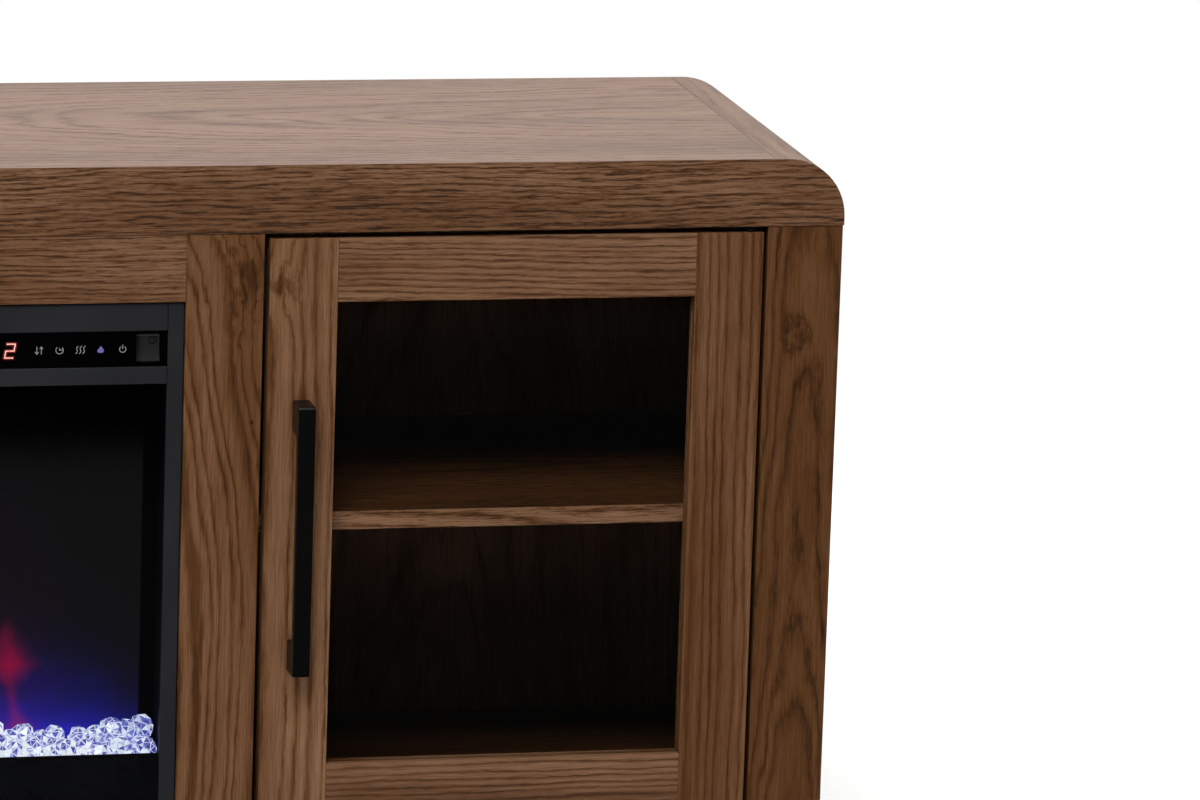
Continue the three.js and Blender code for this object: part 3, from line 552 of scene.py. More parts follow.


# Each board with its grain's axes, its tone, its ring width, the pith's place across and into it, and other
# settings. A board that isn't free keeps its figure in place. A lit edge is painted light: a front edge with
# a lighter tone of its own.
boardLooks = {
    "top_panel": ("flatX", 0.63, 0.0105, (0.03, 0.6), {
        "Lean Depth": 0.11, "Sway": 0.06, "Tremble": 0.006, "Line Strength": 0.55, "Pore Strength": 0.6,
        "gloss": 0.24, "free": False}),
    "cap_front_rail": ("x", 0.84, 0.0047, (0.55, -0.1), {
        "Sway": 0.035, "Tremble": 0.008, "Broken": 0.6, "Line Strength": 1.0, "Pore Strength": 1.7}),
    "cap_back_rail": ("x", 0.9, 0.005, (0.5, 0.1), {"Sway": 0.03}),
    "header_rail": ("x", 0.81, 0.0044, (0.5, -0.1), {"Tremble": 0.006, "Broken": 0.6, "Pore Strength": 1.3}),
    "center_bottom_rail": ("x", 0.82, 0.005, (-0.1, -0.1), {}),
    "floor_panel": ("flatX", 0.42, 0.008, (0.0, 0.05), {"Sway": 0.05, "gloss": 0.1}),
    "rear_base_rail": ("x", 0.42, 0.006, (0.3, 0.3), {"Sway": 0.03}),
}
for side, sign in sides.items():
    boardLooks.update({
        side + "_end_moulding": ("flatY", 0.6, 0.0055, (sign * 0.8, 0.5), {"Line Strength": 0.55}),
        side + "_end_post": ("z", 0.485, 0.0052, (sign * 0.93, -0.14), {
            "Lean Depth": 0.035, "Sway": 0.032, "Tremble": 0.006, "Line Strength": 1.0,
            "Knot Across": sign * 0.926, "Knot Along": 0.59, "Knot Size": 0.005, "free": False}),
        side + "_center_post": ("z", 0.72, 0.0125, (sign * 0.5, -0.16), {
            "Lean Across": sign * 0.16, "Bend": sign * -0.31, "Sway": 0.045, "Tremble": 0.01,
            "Line Strength": 1.0, "Knot Across": sign * 0.392, "Knot Along": 0.655, "Knot Size": 0.011,
            "Pin Across": sign * 0.3965, "Pin Along": 0.516, "free": False}),
        side + "_bottom_rail": ("x", 0.82, 0.005, (-0.12, -0.1), {}),
        side + "_side_panel": ("sideZ", 0.75, 0.0105, (0.02, sign * 0.84), {
            "Lean Depth": sign * 0.09, "Sway": 0.06, "Line Strength": 0.75}),
        side + "_divider": ("sideZ", 0.78, 0.01, (0.02, sign * 0.36), {"Lean Depth": 0.03, "Sway": 0.06}),
        side + "_back_panel": ("z", 0.82, 0.012, (sign * 0.66, 0.36), {
            "Lean Depth": 0.08, "Sway": 0.08, "Line Strength": 0.4}),
        # the shelves' dark tone is painted shade inside the cabinet, and their lighter front edge is painted
        # light
        side + "_shelf": ("flatX", 0.38, 0.005, (0.0, 0.36), {
            "Sway": 0.025, "Line Strength": 1.0, "Pore Strength": 1.4, "gloss": 0.07,
            "band": (-0.1729, 1.45)}),
        side + "_door_top_rail": ("x", 0.86, 0.0058, (0.84, -0.12), {
            "Lean Across": sign * -0.02, "Tremble": 0.005, "Broken": 0.3, "Line Strength": 1.0,
            "Pore Strength": 0.8}),
        side + "_door_bottom_rail": ("x", 0.82, 0.0056, (-0.02, -0.12), {
            "Tremble": 0.005, "Line Strength": 1.0}),
        side + "_door_handle_stile": ("z", 0.95, 0.0105, (sign * 0.34, -0.1), {
            "Knot Across": sign * 0.42, "Knot Along": 0.648, "Knot Size": 0.007, "free": False}),
        side + "_door_hinge_stile": ("z", 0.74, 0.0085, (sign * 0.98, -0.1), {"Line Strength": 0.85}),
    })
edgeWidths = {"cap": 0.0007, "door": 0.0009, "frame": 0.0008, "inner": 0.0004}
mitre = {"before": -0.1801, "above": 0.7419, "gap": 0.0003}


def closeMitre(point):
    # the mitres are drawn together, so that the corner shows no gap
    if point.y < mitre["before"] and point.z > mitre["above"]:
        point.y -= mitre["gap"]
    return point


def edgeWidth(board):
    if slotOf[board] == "oak_inner":
        return edgeWidths["inner"]
    if slotOf[board] == "oak_top" or "cap" in board:
        return edgeWidths["cap"]
    return edgeWidths["door" if "door" in board else "frame"]


for board, look in boardLooks.items():
    stretch = closeMitre if board == "top_panel" else None
    softened(board, oakMaterial("oak " + board.replace("_", " "), *look), edgeWidth(board), stretch=stretch)
print("oak boards made,", len(boardLooks))


# Plain finishes.

def coatMaterial(name, color, roughness, grain, bump, gloss=0.5, metallic=0.0, wear=0.12):
    # "grain" is how fine its specks are, per metre, and "wear" how much its shade wanders
    material, tree, surface = newMaterial(name)
    place = objectPlace(tree)
    speck = noiseOf(tree, place, scale=grain, detail=3)
    cloud = noiseOf(tree, place, scale=14, detail=3)
    shade = rangeOf(tree, cloud, 0.3, 0.7, 1 - wear, 1 + wear)
    fill(tree, surface, {
        "Base Color": scaled(tree, color, vectorOf(tree, shade, shade, shade)), "Metallic": metallic,
        "Roughness": rangeOf(tree, speck, 0.3, 0.7, roughness - 0.06, roughness + 0.06),
        "Specular IOR Level": gloss, "Normal": bumpOf(tree, speck, 0.5, bump)})
    return material


def paintedShadeFlank(material, edges, dark):
    # painted shade: a coat gets darker between two places along X, towards the left, as on a flank turned
    # from the light
    tree = material.node_tree
    base = tree.nodes["Principled BSDF"].inputs["Base Color"]
    shade = rangeOf(tree, partsOf(tree, objectPlace(tree))[0], *edges, dark, 1.0)
    tree.links.new(scaled(tree, base.links[0].from_socket, vectorOf(tree, shade, shade, shade)), base)
    return material


def paneMaterial(name, color, alpha, roughness, gloss):
    material, tree, surface = newMaterial(name)
    smear = noiseOf(tree, objectPlace(tree), scale=6, detail=3)
    fill(tree, surface, {
        "Base Color": (*color, 1), "Roughness": rangeOf(tree, smear, 0.3, 0.7, roughness, roughness * 2.5),
        "Alpha": alpha, "Specular IOR Level": gloss})
    return material


# the power rocker's left flank gets painted shade
rockerPaintedShade = {"edges": (0.2868, 0.2925), "dark": 0.12}
greyPlastic = coatMaterial("grey plastic", (0.0095, 0.0098, 0.0105), 0.45, 1200, 0.00003, gloss=0.25)
finishes = {
    "blackMetal": coatMaterial("black metal", (0.0018, 0.0016, 0.0015), 0.38, 900, 0.00003, gloss=0.28),
    "zinc": coatMaterial("zinc plate", (0.36, 0.365, 0.37), 0.36, 300, 0.00002, metallic=1.0),
    "pivot": coatMaterial("dark pivot plate", (0.03, 0.03, 0.032), 0.5, 300, 0.00002, metallic=1.0),
    "trim": coatMaterial("charcoal coat", (0.014, 0.0145, 0.0175), 0.62, 1400, 0.00004, gloss=0.2, wear=0.14),
    "gloss": coatMaterial("gloss black", (0.0005, 0.0006, 0.0007), 0.12, 60, 0.000002, gloss=0.14, wear=0.2),
    "plate": coatMaterial("outlet black", (0.0022, 0.0024, 0.0034), 0.26, 90, 0.000003, gloss=0.25, wear=0.3),
    "case": coatMaterial("case coat", (0.003, 0.003, 0.0033), 0.7, 700, 0.00003, gloss=0.2),
    "plastic": coatMaterial("black plastic", (0.012, 0.012, 0.0125), 0.5, 1200, 0.00003),
    "rocker": paintedShadeFlank(greyPlastic, **rockerPaintedShade),
    "foil": coatMaterial("bright foil", (0.7, 0.7, 0.72), 0.2, 120, 0.0001, metallic=1.0),
    "doorGlass": paneMaterial("door glass", (0.01, 0.012, 0.012), 0.06, 0.02, 0.12),
    "fireGlass": paneMaterial("fire glass", (0.001, 0.001, 0.0015), 0.15, 0.02, 0.12),
}

# Finish, edge width and steps of each rounded edge.
doorFittings = {
    "door_handle": ("blackMetal", 0.0014, 3),
    "door_strike": ("zinc", 0.0003, 2),
    "lower_pivot": ("pivot", 0.0003, 2),
    "upper_pivot": ("pivot", 0.0003, 2),
    "magnetic_catch": ("plastic", 0.001, 2),
    "door_glass": ("doorGlass", 0.0004, 2),
}
softNodes = {f"{side}_{part}": finish for side in sides for part, finish in doorFittings.items()}
softNodes.update({
    **{f"fireplace_{part}_trim": ("trim", 0.0006, 2) for part in ("left", "right", "top", "middle")},
    "fireplace_control_strip": ("gloss", 0.0003, 2),
    "fireplace_outlet_plate": ("plate", 0.0004, 2),
    "power_rocker": ("rocker", 0.0007, 3),
    "firebox_glass": ("fireGlass", 0.0003, 2),
    "power_inlet": ("plastic", 0.0006, 2),
})
sharpNodes = {
    "fireplace_case": "case",
    "heater_duct": "case",
    "heater_fan": "plastic",
    "flame_rotor": "foil",
    "rotor_motor": "zinc",
    "heating_element": "zinc",
}
for node, (finish, width, steps) in softNodes.items():
    softened(node, finishes[finish], width, steps)
for node, finish in sharpNodes.items():
    dressed(node, finishes[finish])
print("metal, glass and plastic finished")


# Lit signs on the control strip.

iconLook = {
    "face": -0.1955,
    "lift": 0.00012,
    "width": 0.0006,
    "middle": 0.5878,
    "radius": 0.0035,
    "arrows": ((0.1925, -1), (0.1967, 1)),  # each arrow's X and whether it points down or up
    "arrowHead": (0.0015, 0.002),
    "clock": 0.2139,
    "clockArc": (130, 400),
    "clockHands": ((0, 0.002), (0, 0), (0.0035, 0.0004)),
    "waves": (0.2303, 0.2336, 0.2369),
    "waveSwing": 0.0009,
    "waveLean": 0.0022,
    "waveSteps": 10,
    "flame": 0.2526,
    "flameSize": (0.0031, 0.0038),
    # half a flame's width and height are 1 here
    "flameOutline": ((0, 0.95), (0.3, 0.62), (0.62, 0.3), (0.88, 0), (1, -0.3), (0.95, -0.6), (0.7, -0.78),
                     (0, -0.84), (-0.7, -0.78), (-0.95, -0.6), (-1, -0.3), (-0.85, 0), (-0.5, 0.25),
                     (-0.25, 0.55)),
    "power": 0.2735,
    "powerArc": (130, 410),
    "powerSize": 0.86,
    "powerStroke": (0.0005, 0.0042),
    "digits": ((0.1672, "abged"), (0.1465, "abcdef")),
    "digitSize": (0.0078, 0.0132),
    # a digit's segments from end to end, with half its width and height as 1
    "segments": {
        "a": ((-1, 1), (1, 1)), "b": ((1, 1), (1, 0)), "c": ((1, 0), (1, -1)), "d": ((-1, -1), (1, -1)),
        "e": ((-1, 0), (-1, -1)), "f": ((-1, 1), (-1, 0)), "g": ((-1, 0), (1, 0))},
    "digitSlant": 0.16,
    "digitWidth": 0.00105,
    "point": (0.1562, 0.1566, -0.0066),
    "haloWidth": 0.0036,
    "haloLift": 0.4,
    "rockerFace": -0.196,
    "mark": (0.3015, 0.5965),
    "markRadius": 0.0036,
    "markHand": ((0.3015, 0.5968), (0.3033, 0.599)),
    "markWidth": 0.0008,
    "markColor": (0.0016, 0.0016, 0.0016),
    "white": (0.6, 0.6, 0.6),
    "blue": (0.2, 0.17, 0.5),
    "red": (1.0, 0.52, 0.42),
    "halo": (0.15, 0.006, 0.004),
}


def glowMaterial(name, color, strength):
    material, tree, surface = newMaterial(name)
    flicker = noiseOf(tree, objectPlace(tree), scale=700, detail=1)
    strength = rangeOf(tree, flicker, 0.3, 0.7, strength * 0.75, strength * 1.2)
    fill(tree, surface, {
        "Base Color": (0.002, 0.002, 0.002, 1), "Emission Color": (*color, 1), "Emission Strength": strength})
    return material


def bandEdges(chain, width):
    # both edges of a band along a chain of points, mitred where it turns
    closed = math.dist(chain[0], chain[-1]) < width / 100
    points = [Vector(point) for point in (chain[:-1] if closed else chain)]
    last = len(points) - 1
    edges = []
    for index, point in enumerate(points):
        behind = point - points[index - 1]
        ahead = points[(index + 1) % len(points)] - point
        if not closed and index == 0:
            behind = ahead
        if not closed and index == last:
            ahead = behind
        along = (behind.normalized() + ahead.normalized()).normalized()
        tight = max(along.dot(ahead.normalized()), 0.5)
        side = Vector((-along.y, along.x)) * width / 2 / tight
        if not closed and index in (0, last):
            point = point + along * width * (0.3 if index else -0.3)
        edges.append((point - side, point + side))
    return edges, closed


def raisedMesh(name, face, lift, bands=(), width=0.0, plates=()):
    # bands and plates that stand proud of a face by "lift" and reach half as far into it
    sheet = bmesh.new()
    far = face + lift * 0.5
    for order, chain in enumerate(bands):
        edges, closed = bandEdges(chain, width)
        near = face - lift * (1 + 0.04 * order)  # crossing bands never share a plane
        strip = [[sheet.verts.new((spot.x, depth, spot.y)) for depth in (near, far) for spot in pair]
                 for pair in edges]
        for index in range(len(strip) if closed else len(strip) - 1):
            here, there = strip[index], strip[(index + 1) % len(strip)]
            for i, j in ((0, 1), (1, 3), (3, 2), (2, 0)):
                sheet.faces.new((here[i], here[j], there[j], there[i]))
        if not closed:
            for end in (strip[0], strip[-1]):
                sheet.faces.new((end[0], end[1], end[3], end[2]))
    for outline in plates:
        front, back = ([sheet.verts.new((x, depth, z)) for x, z in outline] for depth in (face - lift, far))
        sheet.faces.new(front)
        sheet.faces.new(back)
        skirt(sheet, front, back)
    return meshFrom(sheet, name)


def ringChain(x, z, radius, start=0.0, stop=360.0, steps=16):
    turns = [math.radians(start + (stop - start) * index / steps) for index in range(steps + 1)]
    return [(x + radius * math.cos(turn), z + radius * math.sin(turn)) for turn in turns]


def digitChains(x, z, letters, look):
    # the lit segments of one slanted digit
    wide, high = (size / 2 for size in look["digitSize"])
    return [[(x + across * wide + up * high * look["digitSlant"], z + up * high)
             for across, up in look["segments"][letter]] for letter in letters]


def arrowChains(x, turn, look):
    z, r, (wide, long) = look["middle"], look["radius"], look["arrowHead"]
    tip = z + turn * r
    shaft = [(x, z - turn * r), (x, tip - turn * look["width"])]
    return [shaft, [(x - wide, tip - turn * long), (x, tip), (x + wide, tip - turn * long)]]


def waveChain(x, look):
    shares = [index / look["waveSteps"] for index in range(look["waveSteps"] + 1)]
    return [(x + look["waveSwing"] * math.sin(share * math.tau) + look["waveLean"] * (share - 0.5),
             look["middle"] + (share - 0.5) * 2 * look["radius"]) for share in shares]


def makeIcons(look):
    z, r = look["middle"], look["radius"]

    def sign(name, material, bands=(), width=0.0, plates=(), lift=look["lift"]):
        mesh = raisedMesh(name, look["face"], lift, bands, width, plates)
        newPiece(name, mesh, material, "cabinet")

    signs = [chain for x, turn in look["arrows"] for chain in arrowChains(x, turn, look)]
    signs += [ringChain(look["clock"], z, r, *look["clockArc"]),
              [(look["clock"] + x, z + up) for x, up in look["clockHands"]]]
    signs += [waveChain(x, look) for x in look["waves"]]
    signs += [ringChain(look["power"], z, r * look["powerSize"], *look["powerArc"]),
              [(look["power"], z + up) for up in look["powerStroke"]]]
    sign("touch_icons", glowMaterial("white light", look["white"], 0.5), signs, look["width"])

    wide, high = look["flameSize"]
    outline = [(look["flame"] + x * wide, z + y * high) for x, y in look["flameOutline"]]
    sign("flame_icon", glowMaterial("blue light", look["blue"], 0.75), plates=[outline])

    digits = [chain for x, letters in look["digits"] for chain in digitChains(x, z, letters, look)]
    pointStart, pointEnd, drop = look["point"]
    digits.append([(pointStart, z + drop), (pointEnd, z + drop)])
    sign("timer_digits", glowMaterial("red light", look["red"], 1.2), digits, look["digitWidth"])
    sign("timer_halo", glowMaterial("red halo", look["halo"], 1.0), digits, look["haloWidth"],
         lift=look["lift"] * look["haloLift"])

    mark = [ringChain(*look["mark"], look["markRadius"], steps=24), look["markHand"]]
    mesh = raisedMesh("rocker_mark", look["rockerFace"], look["lift"], mark, look["markWidth"])
    paint = coatMaterial("rocker mark", look["markColor"], 0.6, 900, 0.00001, gloss=0.05)
    newPiece("rocker_mark", mesh, paint, "rocker")


makeIcons(iconLook)
print("control strip lit")


# Flame picture.

flameLook = {
    "base": (0.0056, 0.0053, 0.0055),
    "bedHeight": 0.2,
    "halfWidth": 0.313,
    "softEdge": 0.003,
    "sheetMiddle": -0.0995,
    "topEdge": (0.44, 0.5),
    "strength": 1.1,
    "glow": (0.012, 0.014, 0.44),
    "haze": (0.05, 0.006, 0.05),
    "low": (0.17, 0.012, 0.2),
    "high": (0.28, 0.0006, 0.036),
    "turnsHigh": 0.04,
    "warp": 0.03,
    "swaying": 0.006,
    # how wide and how bright a tongue is on its way up: a thin stem that swells half way and then tapers off
    "width": ((0.0, 0.6), (0.12, 0.36), (0.34, 0.32), (0.54, 0.95), (0.7, 0.8), (1.0, 0.15)),
    "brightness": ((0.0, 1.0), (0.2, 0.55), (0.34, 0.4), (0.54, 1.0), (0.68, 0.8), (1.0, 0.0)),
    # each with its middle, height, half width, how low it swells and how far it leans
    "tongues": (
        (0.191, 0.112, 0.018, 1.0, 0.0), (0.12, 0.165, 0.026, 0.65, 0.14), (0.062, 0.23, 0.032, 1.0, -0.06),
        (0.006, 0.18, 0.026, 0.6, 0.1), (-0.055, 0.25, 0.034, 0.9, 0.05), (-0.118, 0.18, 0.027, 0.6, -0.14),
        (-0.176, 0.12, 0.018, 0.55, 0.1), (0.152, 0.085, 0.012, 0.45, -0.1), (0.092, 0.11, 0.013, 0.5, 0.16),
        (-0.026, 0.12, 0.013, 0.55, -0.2), (-0.09, 0.1, 0.013, 0.45, 0.2), (-0.147, 0.07, 0.012, 0.45, -0.1),
        (-0.215, 0.08, 0.012, 0.5, 0.12), (0.032, 0.09, 0.013, 0.5, -0.15),
    ),
}


def makeFlames(look):
    material, tree, surface = newMaterial("flame film")
    place = objectPlace(tree)
    x, y, z = partsOf(tree, place)
    times, plus, minus, over = sums(tree)
    black = (0, 0, 0)

    def noise(scale, detail):
        return noiseOf(tree, scaled(tree, place, scale), detail=detail)

    def fading(height, rate):
        return calc(tree, "EXPONENT", times(height, rate))

    far = calc(tree, "ABSOLUTE", x)
    warp = minus(noise((19, 19, 15), 2), 0.5)
    lift = minus(z, look["bedHeight"])
    heat = 0.0
    for middle, high, half, swellPower, lean in look["tongues"]:
        share = calc(tree, "POWER", calc(tree, "MAXIMUM", over(lift, high), 0.0), swellPower)
        sway = times(calc(tree, "SINE", plus(times(lift, 30), middle * 60)), look["swaying"])
        bent = plus(plus(minus(x, middle), times(warp, look["warp"])), plus(sway, times(lift, lean)))
        ratio = over(calc(tree, "ABSOLUTE", bent), times(ramp(tree, share, look["width"]), half))
        bright = ramp(tree, share, look["brightness"])
        heat = plus(heat, times(rangeOf(tree, ratio, 0.0, 2.1, 1.0, 0.0), bright))
    heat = calc(tree, "POWER", calc(tree, "MINIMUM", heat, 1.0), 1.6)
    heat = times(heat, rangeOf(tree, noise((46, 46, 24), 3), 0.3, 0.6, 0.66, 1.12))
    hue = mixColor(tree, rangeOf(tree, lift, 0.0, look["turnsHigh"]), look["low"], look["high"])

    # a blue glow over the crystals and a faint red haze
    sideFade = rangeOf(tree, far, 0.26, 0.315, 1.0, 0.35)
    patches = rangeOf(tree, noise((14, 14, 30), 2), 0.3, 0.7, 0.7, 1.25)
    glowRate = rangeOf(tree, far, 0.2, 0.3, -42, -56)
    glowFade = times(times(fading(lift, glowRate), sideFade), patches, clamp=True)
    hazeFade = times(fading(lift, -15), rangeOf(tree, far, 0.12, 0.27, 0.55, 0.03), clamp=True)
    color = vectorCalc(tree, "ADD", mixColor(tree, glowFade, black, look["glow"]),
                       mixColor(tree, hazeFade, black, look["haze"]))
    color = vectorCalc(tree, "ADD", mixColor(tree, times(heat, 0.92), color, hue), look["base"])

    # the lit picture ends short of the sheet's edges and is on its front alone
    border = rangeOf(tree, far, look["halfWidth"] - look["softEdge"], look["halfWidth"], 1.0, 0.0)
    inside = times(border, rangeOf(tree, z, *look["topEdge"], 1.0, 0.0))
    inside = times(inside, calc(tree, "LESS_THAN", y, look["sheetMiddle"]))
    fill(tree, surface, {
        "Base Color": (0.001, 0.001, 0.001, 1), "Roughness": 0.7, "Specular IOR Level": 0.1,
        "Emission Color": mixColor(tree, inside, black, color), "Emission Strength": look["strength"]})
    return material


dressed("flame_screen", makeFlames(flameLook))
print("flame picture lit")


# Crystals.

crystalLook = {
    "inputs": {
        "Half Length": 0.3225, "Front": -0.1868, "Back": -0.1022, "Tray Top": 0.1798, "Pitch": 0.0155,
        "Smallest": 0.0092, "Largest": 0.0122, "Rise": 0.009, "Rim": 0.3},
    "seed": 7,
    "bottom": 0.1718,
    "margin": 1.75,  # from the tray's edge to the first stones, in largest radii
    "jitter": (0.3, 0.3, 0.8),
    "sunk": 0.35,
    "dentScale": 190.0,
    "dentDepth": 0.009,
    "facetSize": 0.8,
    "body": (0.12, 0.13, 0.2),
    "polish": 0.12,
    "strength": 1.1,
    # the glow's colours: painted light from deep blue up to white painted highlights
    "paintedGlowColors": ((0.0, (0.01, 0.008, 0.3)), (0.17, (0.02, 0.018, 0.42)), (0.3, (0.16, 0.18, 0.6)),
               (0.46, (0.56, 0.66, 0.84)), (0.62, (0.8, 0.93, 0.98)), (0.9, (1.0, 1.0, 1.0))),
}


def paintedGlowCrystalMaterial(look):
    # painted light: the stones glow as if lit from below, with painted shade that makes them bluer at the
    # sides and at the back, each facet with a level of its own
    material, tree, surface = newMaterial("crystal")
    times, plus, minus, over = sums(tree)
    facet = addNode(tree, "ShaderNodeAttribute", attribute_name="facet").outputs["Fac"]
    place = objectPlace(tree)
    x, y, z = partsOf(tree, place)
    vein = noiseOf(tree, place, scale=260, detail=2)
    side = rangeOf(tree, calc(tree, "ABSOLUTE", x), 0.24, 0.31, 0.0, 0.2)
    rear = rangeOf(tree, z, 0.188, 0.2, -0.06, 0.14)
    level = plus(minus(facet, plus(side, rear)), times(minus(vein, 0.5), 0.5))
    fill(tree, surface, {
        "Base Color": (*look["body"], 1), "Roughness": look["polish"],
        "Emission Color": ramp(tree, level, look["paintedGlowColors"]), "Emission Strength": look["strength"]})
    return material


def crystalGroup(look):
    inputs = [(label, "Float", value) for label, value in look["inputs"].items()]
    group, given = newRepeat("crystal pile", [*inputs, ("Seed", "Int", look["seed"])], "Stone")
    times, plus, minus, over = sums(group)
    seed = given["Seed"]

    # a jittered grid over the tray, a little higher towards the back
    margin = times(given["Largest"], look["margin"])
    long = minus(times(given["Half Length"], 2.0), margin)
    deep = minus(minus(given["Back"], given["Front"]), times(margin, 2.0))
    columns = calc(group, "ROUND", over(long, given["Pitch"]))
    rows = calc(group, "ROUND", over(deep, given["Pitch"]))
    grid = addNode(group, "GeometryNodeMeshGrid", {
        "Size X": long, "Size Y": deep, "Vertices X": columns, "Vertices Y": rows})
    middle = times(plus(given["Front"], given["Back"]), 0.5)
    jitterX, jitterY, jitterZ = look["jitter"]
    shift = randomOf(group, (-jitterX, -jitterY, 0.0), (jitterX, jitterY, jitterZ), seed)
    place = addNode(group, "GeometryNodeInputPosition").outputs[0]
    share = plus(over(partsOf(group, place)[1], deep), 0.5, clamp=True)
    lift = plus(plus(given["Tray Top"], times(given["Smallest"], look["sunk"])), times(share, given["Rise"]))
    raised = vectorOf(group, 0.0, middle, lift)
    raised = vectorCalc(group, "ADD", resized(group, shift, given["Pitch"]), raised)
    spread = addNode(group, "GeometryNodeSetPosition", {"Geometry": grid.outputs[0], "Offset": raised})

    # turned stones with dents
    stone = addNode(group, "GeometryNodeMeshIcoSphere", {"Radius": 1.0, "Subdivisions": 2})
    size = randomOf(group, given["Smallest"], given["Largest"], seed)
    turn = randomOf(group, (0.0, 0.0, 0.0), (6.28, 6.28, 6.28), seed)
    stones = addNode(group, "GeometryNodeInstanceOnPoints", {
        "Points": spread.outputs[0], "Instance": stone.outputs[0], "Rotation": turn, "Scale": size})
    real = addNode(group, "GeometryNodeRealizeInstances", {0: stones.outputs[0]})
    here = addNode(group, "GeometryNodeInputPosition").outputs[0]
    dentInputs = {"Vector": here, "Scale": look["dentScale"], "Detail": 1.0}
    dent = addNode(group, "ShaderNodeTexNoise", dentInputs).outputs["Color"]
    push = resized(group, vectorCalc(group, "SUBTRACT", dent, (0.5, 0.5, 0.5)), look["dentDepth"])
    dented = addNode(group, "GeometryNodeSetPosition", {"Geometry": real.outputs[0], "Offset": push})

    # each facet is inset, so that its rim carries a painted highlight round a darker middle
    chance = randomOf(group, 0.0, 1.0, seed)
    inset = addNode(group, "GeometryNodeExtrudeMesh", {"Mesh": dented.outputs[0], "Offset Scale": 0.0},
                    mode="FACES").outputs
    shrunk = addNode(group, "GeometryNodeScaleElements", {
        "Geometry": inset["Mesh"], "Selection": inset["Top"], "Scale": look["facetSize"]}, domain="FACE")
    rim = calc(group, "MULTIPLY_ADD", inset["Side"], given["Rim"], chance)
    named = addNode(group, "GeometryNodeStoreNamedAttribute", {
        "Geometry": shrunk.outputs[0], "Name": "facet", "Value": rim}, data_type="FLOAT", domain="FACE")
    joined = addNode(group, "GeometryNodeJoinGeometry")
    group.links.new(given["Geometry"], joined.inputs[0])
    group.links.new(named.outputs[0], joined.inputs[0])
    realized(group, joined.outputs[0], given["Stone"])
    return group


pile = crystalLook["inputs"]
tray = boxMesh("tray", (-pile["Half Length"], pile["Front"], crystalLook["bottom"]),
               (pile["Half Length"], pile["Back"], pile["Tray Top"]))
grown("crystal_pile", tray, crystalGroup(crystalLook), {"Stone": paintedGlowCrystalMaterial(crystalLook)},
      "cabinet", "crystal_bed")
print("crystals heaped")


# Screws in the back panels.

screwLook = {
    "radius": 0.0036,
    "height": 0.0012,
    # the head's edge from its seat to its flat top, in radii and heights
    "profile": ((1, 0.0), (1, 0.4), (0.86, 0.85), (0.62, 1)),
    "slotLength": 0.0019,
    "slotWidth": 0.0005,
    "slotDepth": 0.0007,
    "sides": 16,
    "spacing": 0.125,
    "fromEdge": 0.009,
    "seed": 3,
}


def screwHead(look):
    # a pan head that looks along +Y, with a cross cut into it
    sheet = bmesh.new()
    radius, height = look["radius"], look["height"]
    rings = lathed(sheet, [(radius * wide, height * high) for wide, high in look["profile"]], look["sides"])
    far, near = look["slotLength"], look["slotWidth"]
    cross = []
    for quarter in range(4):
        for a, b in ((near, far), (near, near), (far, near)):
            cross.append([(a, b), (b, -a), (-a, -b), (-b, a)][quarter])
    rim, floor = ([sheet.verts.new((x, deep, z)) for x, z in cross]
                  for deep in (height, height - look["slotDepth"]))
    skirt(sheet, rim, floor)
    sheet.faces.new(floor)
    edges = [sheet.edges.get((loop[index - 1], loop[index]))
             for loop in (rings[-1], rim) for index in range(len(loop))]
    bmesh.ops.triangle_fill(sheet, edges=edges, use_beauty=True)
    sheet.faces.new(rings[0])
    return meshFrom(sheet, "screw_head")


def screwGroup(look):
    inputs = (("Middle", "Vector"), ("Width", "Float", 0.5), ("Height", "Float", 0.5),
              ("Spacing", "Float", look["spacing"]), ("Seed", "Int", look["seed"]))
    group, given = newRepeat("screws round a panel", inputs, "Metal")
    path = addNode(group, "GeometryNodeCurvePrimitiveQuadrilateral", {
        "Width": given["Width"], "Height": given["Height"]})
    even = addNode(group, "GeometryNodeResampleCurve", {
        "Curve": path.outputs[0], "Length": given["Spacing"]}, mode="LENGTH")
    x, y, _ = partsOf(group, addNode(group, "GeometryNodeInputPosition").outputs[0])
    place = vectorCalc(group, "ADD", vectorOf(group, x, 0.0, y), given["Middle"])
    spots = addNode(group, "GeometryNodeSetPosition", {"Geometry": even.outputs[0], "Position": place})
    turn = vectorOf(group, 0.0, randomOf(group, 0.0, math.tau, given["Seed"]), 0.0)
    heads = addNode(group, "GeometryNodeInstanceOnPoints", {
        "Points": spots.outputs[0], "Instance": given["Geometry"], "Rotation": turn})
    realized(group, heads.outputs[0], given["Metal"])
    return group


screws = screwGroup(screwLook)
for side in sides:
    low, high = (Vector(corner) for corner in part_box(side + "_back_panel"))
    middle = (low + high) / 2
    size = high - low - 2 * Vector([screwLook["fromEdge"]] * 3)
    values = {"Middle": (middle.x, high.y, middle.z), "Width": size.x, "Height": size.z,
              "Metal": finishes["zinc"]}
    grown(side + "_back_screws", screwHead(screwLook), screws, values, "cabinet")
print("back panels screwed on")


# Rubber grommets in the cable holes.

grommetLook = {
    "across": 0.67575,
    "heights": (0.647, 0.354),
    "holeRadius": 0.0296,
    "innerRadius": 0.0276,
    "flangeRadius": 0.0335,
    "flange": 0.0014,
    "rounding": 0.0008,
    "petals": 8,
    "petalSteps": 6,
    "petalOverlap": 0.0003,
    "petalThickness": 0.001,
    "petalStep": 0.0011,
    "petalBulge": 0.0025,
    "segments": 48,
    "sharp": 35,
}


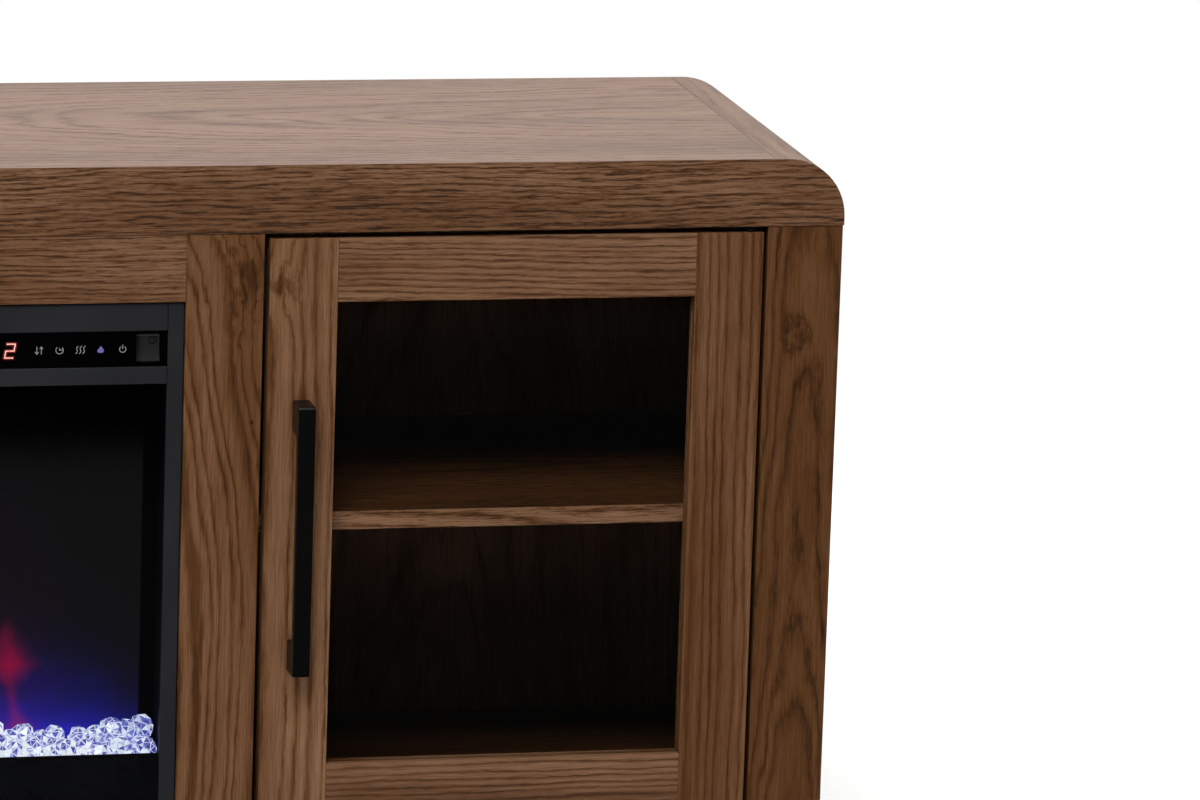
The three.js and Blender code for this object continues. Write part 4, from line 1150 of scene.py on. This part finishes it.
def grommetMesh(look, thickness):
    # a collar round the hole's edge and cut petals that close it, made about the middle of the panel
    sheet = bmesh.new()
    half, rounding = thickness / 2, look["rounding"]
    proud = half + look["flange"]
    hole, inner, outer = look["holeRadius"], look["innerRadius"], look["flangeRadius"]
    back = [(hole, half), (outer, half), (outer, proud - rounding), (outer - rounding, proud),
            (inner + rounding, proud), (inner, proud - rounding)]
    lathed(sheet, back + [(wide, -deep) for wide, deep in reversed(back)], look["segments"], closed=True)
    steps = look["petalSteps"]
    sweep = math.tau / look["petals"]
    reach = inner + look["petalOverlap"]
    extra = look["petalOverlap"] / reach
    for petal in range(look["petals"]):
        start = sweep * petal
        depth = look["petalStep"] * (petal % 2)  # neighbours overlap, one behind the other
        arc = [start - extra + (sweep + 2 * extra) * index / steps for index in range(steps + 1)]
        outline = [(math.cos(turn) * reach, depth, math.sin(turn) * reach) for turn in arc]
        outline.append((0.0, depth - look["petalBulge"], 0.0))
        near, far = ([sheet.verts.new((x, y + shift, z)) for x, y, z in outline]
                     for shift in (-look["petalThickness"] / 2, look["petalThickness"] / 2))
        for step in range(steps):
            sheet.faces.new((near[step], near[step + 1], near[-1]))
            sheet.faces.new((far[step + 1], far[step], far[-1]))
        skirt(sheet, near, far)
    return meshFrom(sheet, "grommet")


def grommetGroup():
    inputs = (("First Hole", "Vector"), ("Last Hole", "Vector"), ("Holes", "Int", 2))
    group, given = newRepeat("grommets in a row", inputs, "Rubber")
    row = addNode(group, "GeometryNodeMeshLine", {
        "Count": given["Holes"], "Start Location": given["First Hole"], "Offset": given["Last Hole"]},
        mode="END_POINTS")
    rings = addNode(group, "GeometryNodeInstanceOnPoints", {
        "Points": row.outputs[0], "Instance": given["Geometry"]})
    realized(group, rings.outputs[0], given["Rubber"])
    return group


grommets = grommetGroup()
for side, sign in sides.items():
    low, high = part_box(side + "_back_panel")
    panelMiddle = (low[1] + high[1]) / 2
    first, last = ((sign * grommetLook["across"], panelMiddle, height) for height in grommetLook["heights"])
    values = {"First Hole": first, "Last Hole": last, "Rubber": finishes["plastic"]}
    grommet = grommetMesh(grommetLook, high[1] - low[1])
    piece = grown(side + "_cable_grommets", grommet, grommets, values, "cabinet")
    for face in piece.data.polygons:
        face.use_smooth = True
    piece.data.set_sharp_from_angle(angle=math.radians(grommetLook["sharp"]))
print("cable holes lined")


# Foam strip that closes the narrow gap between the fireplace's case and its opening.

sealLook = {
    "outer": (0.33195, 0.63245),
    "inner": (0.32805, 0.63055),
    "foot": 0.1164,
    "face": -0.1853,
    "lift": 0.004,
    "color": (0.004, 0.004, 0.004),
}


def makeSeal(look):
    (outX, outZ), (inX, inZ), foot = look["outer"], look["inner"], look["foot"]
    outline = [(-outX, outZ), (outX, outZ), (outX, foot), (inX, foot), (inX, inZ), (-inX, inZ), (-inX, foot),
               (-outX, foot)]
    foam = coatMaterial("seal foam", look["color"], 0.9, 500, 0.0002, gloss=0.05)
    mesh = raisedMesh("insert_seal", look["face"], look["lift"], plates=[outline])
    newPiece("insert_seal", mesh, foam, "cabinet")


makeSeal(sealLook)
print("fireplace sealed in")
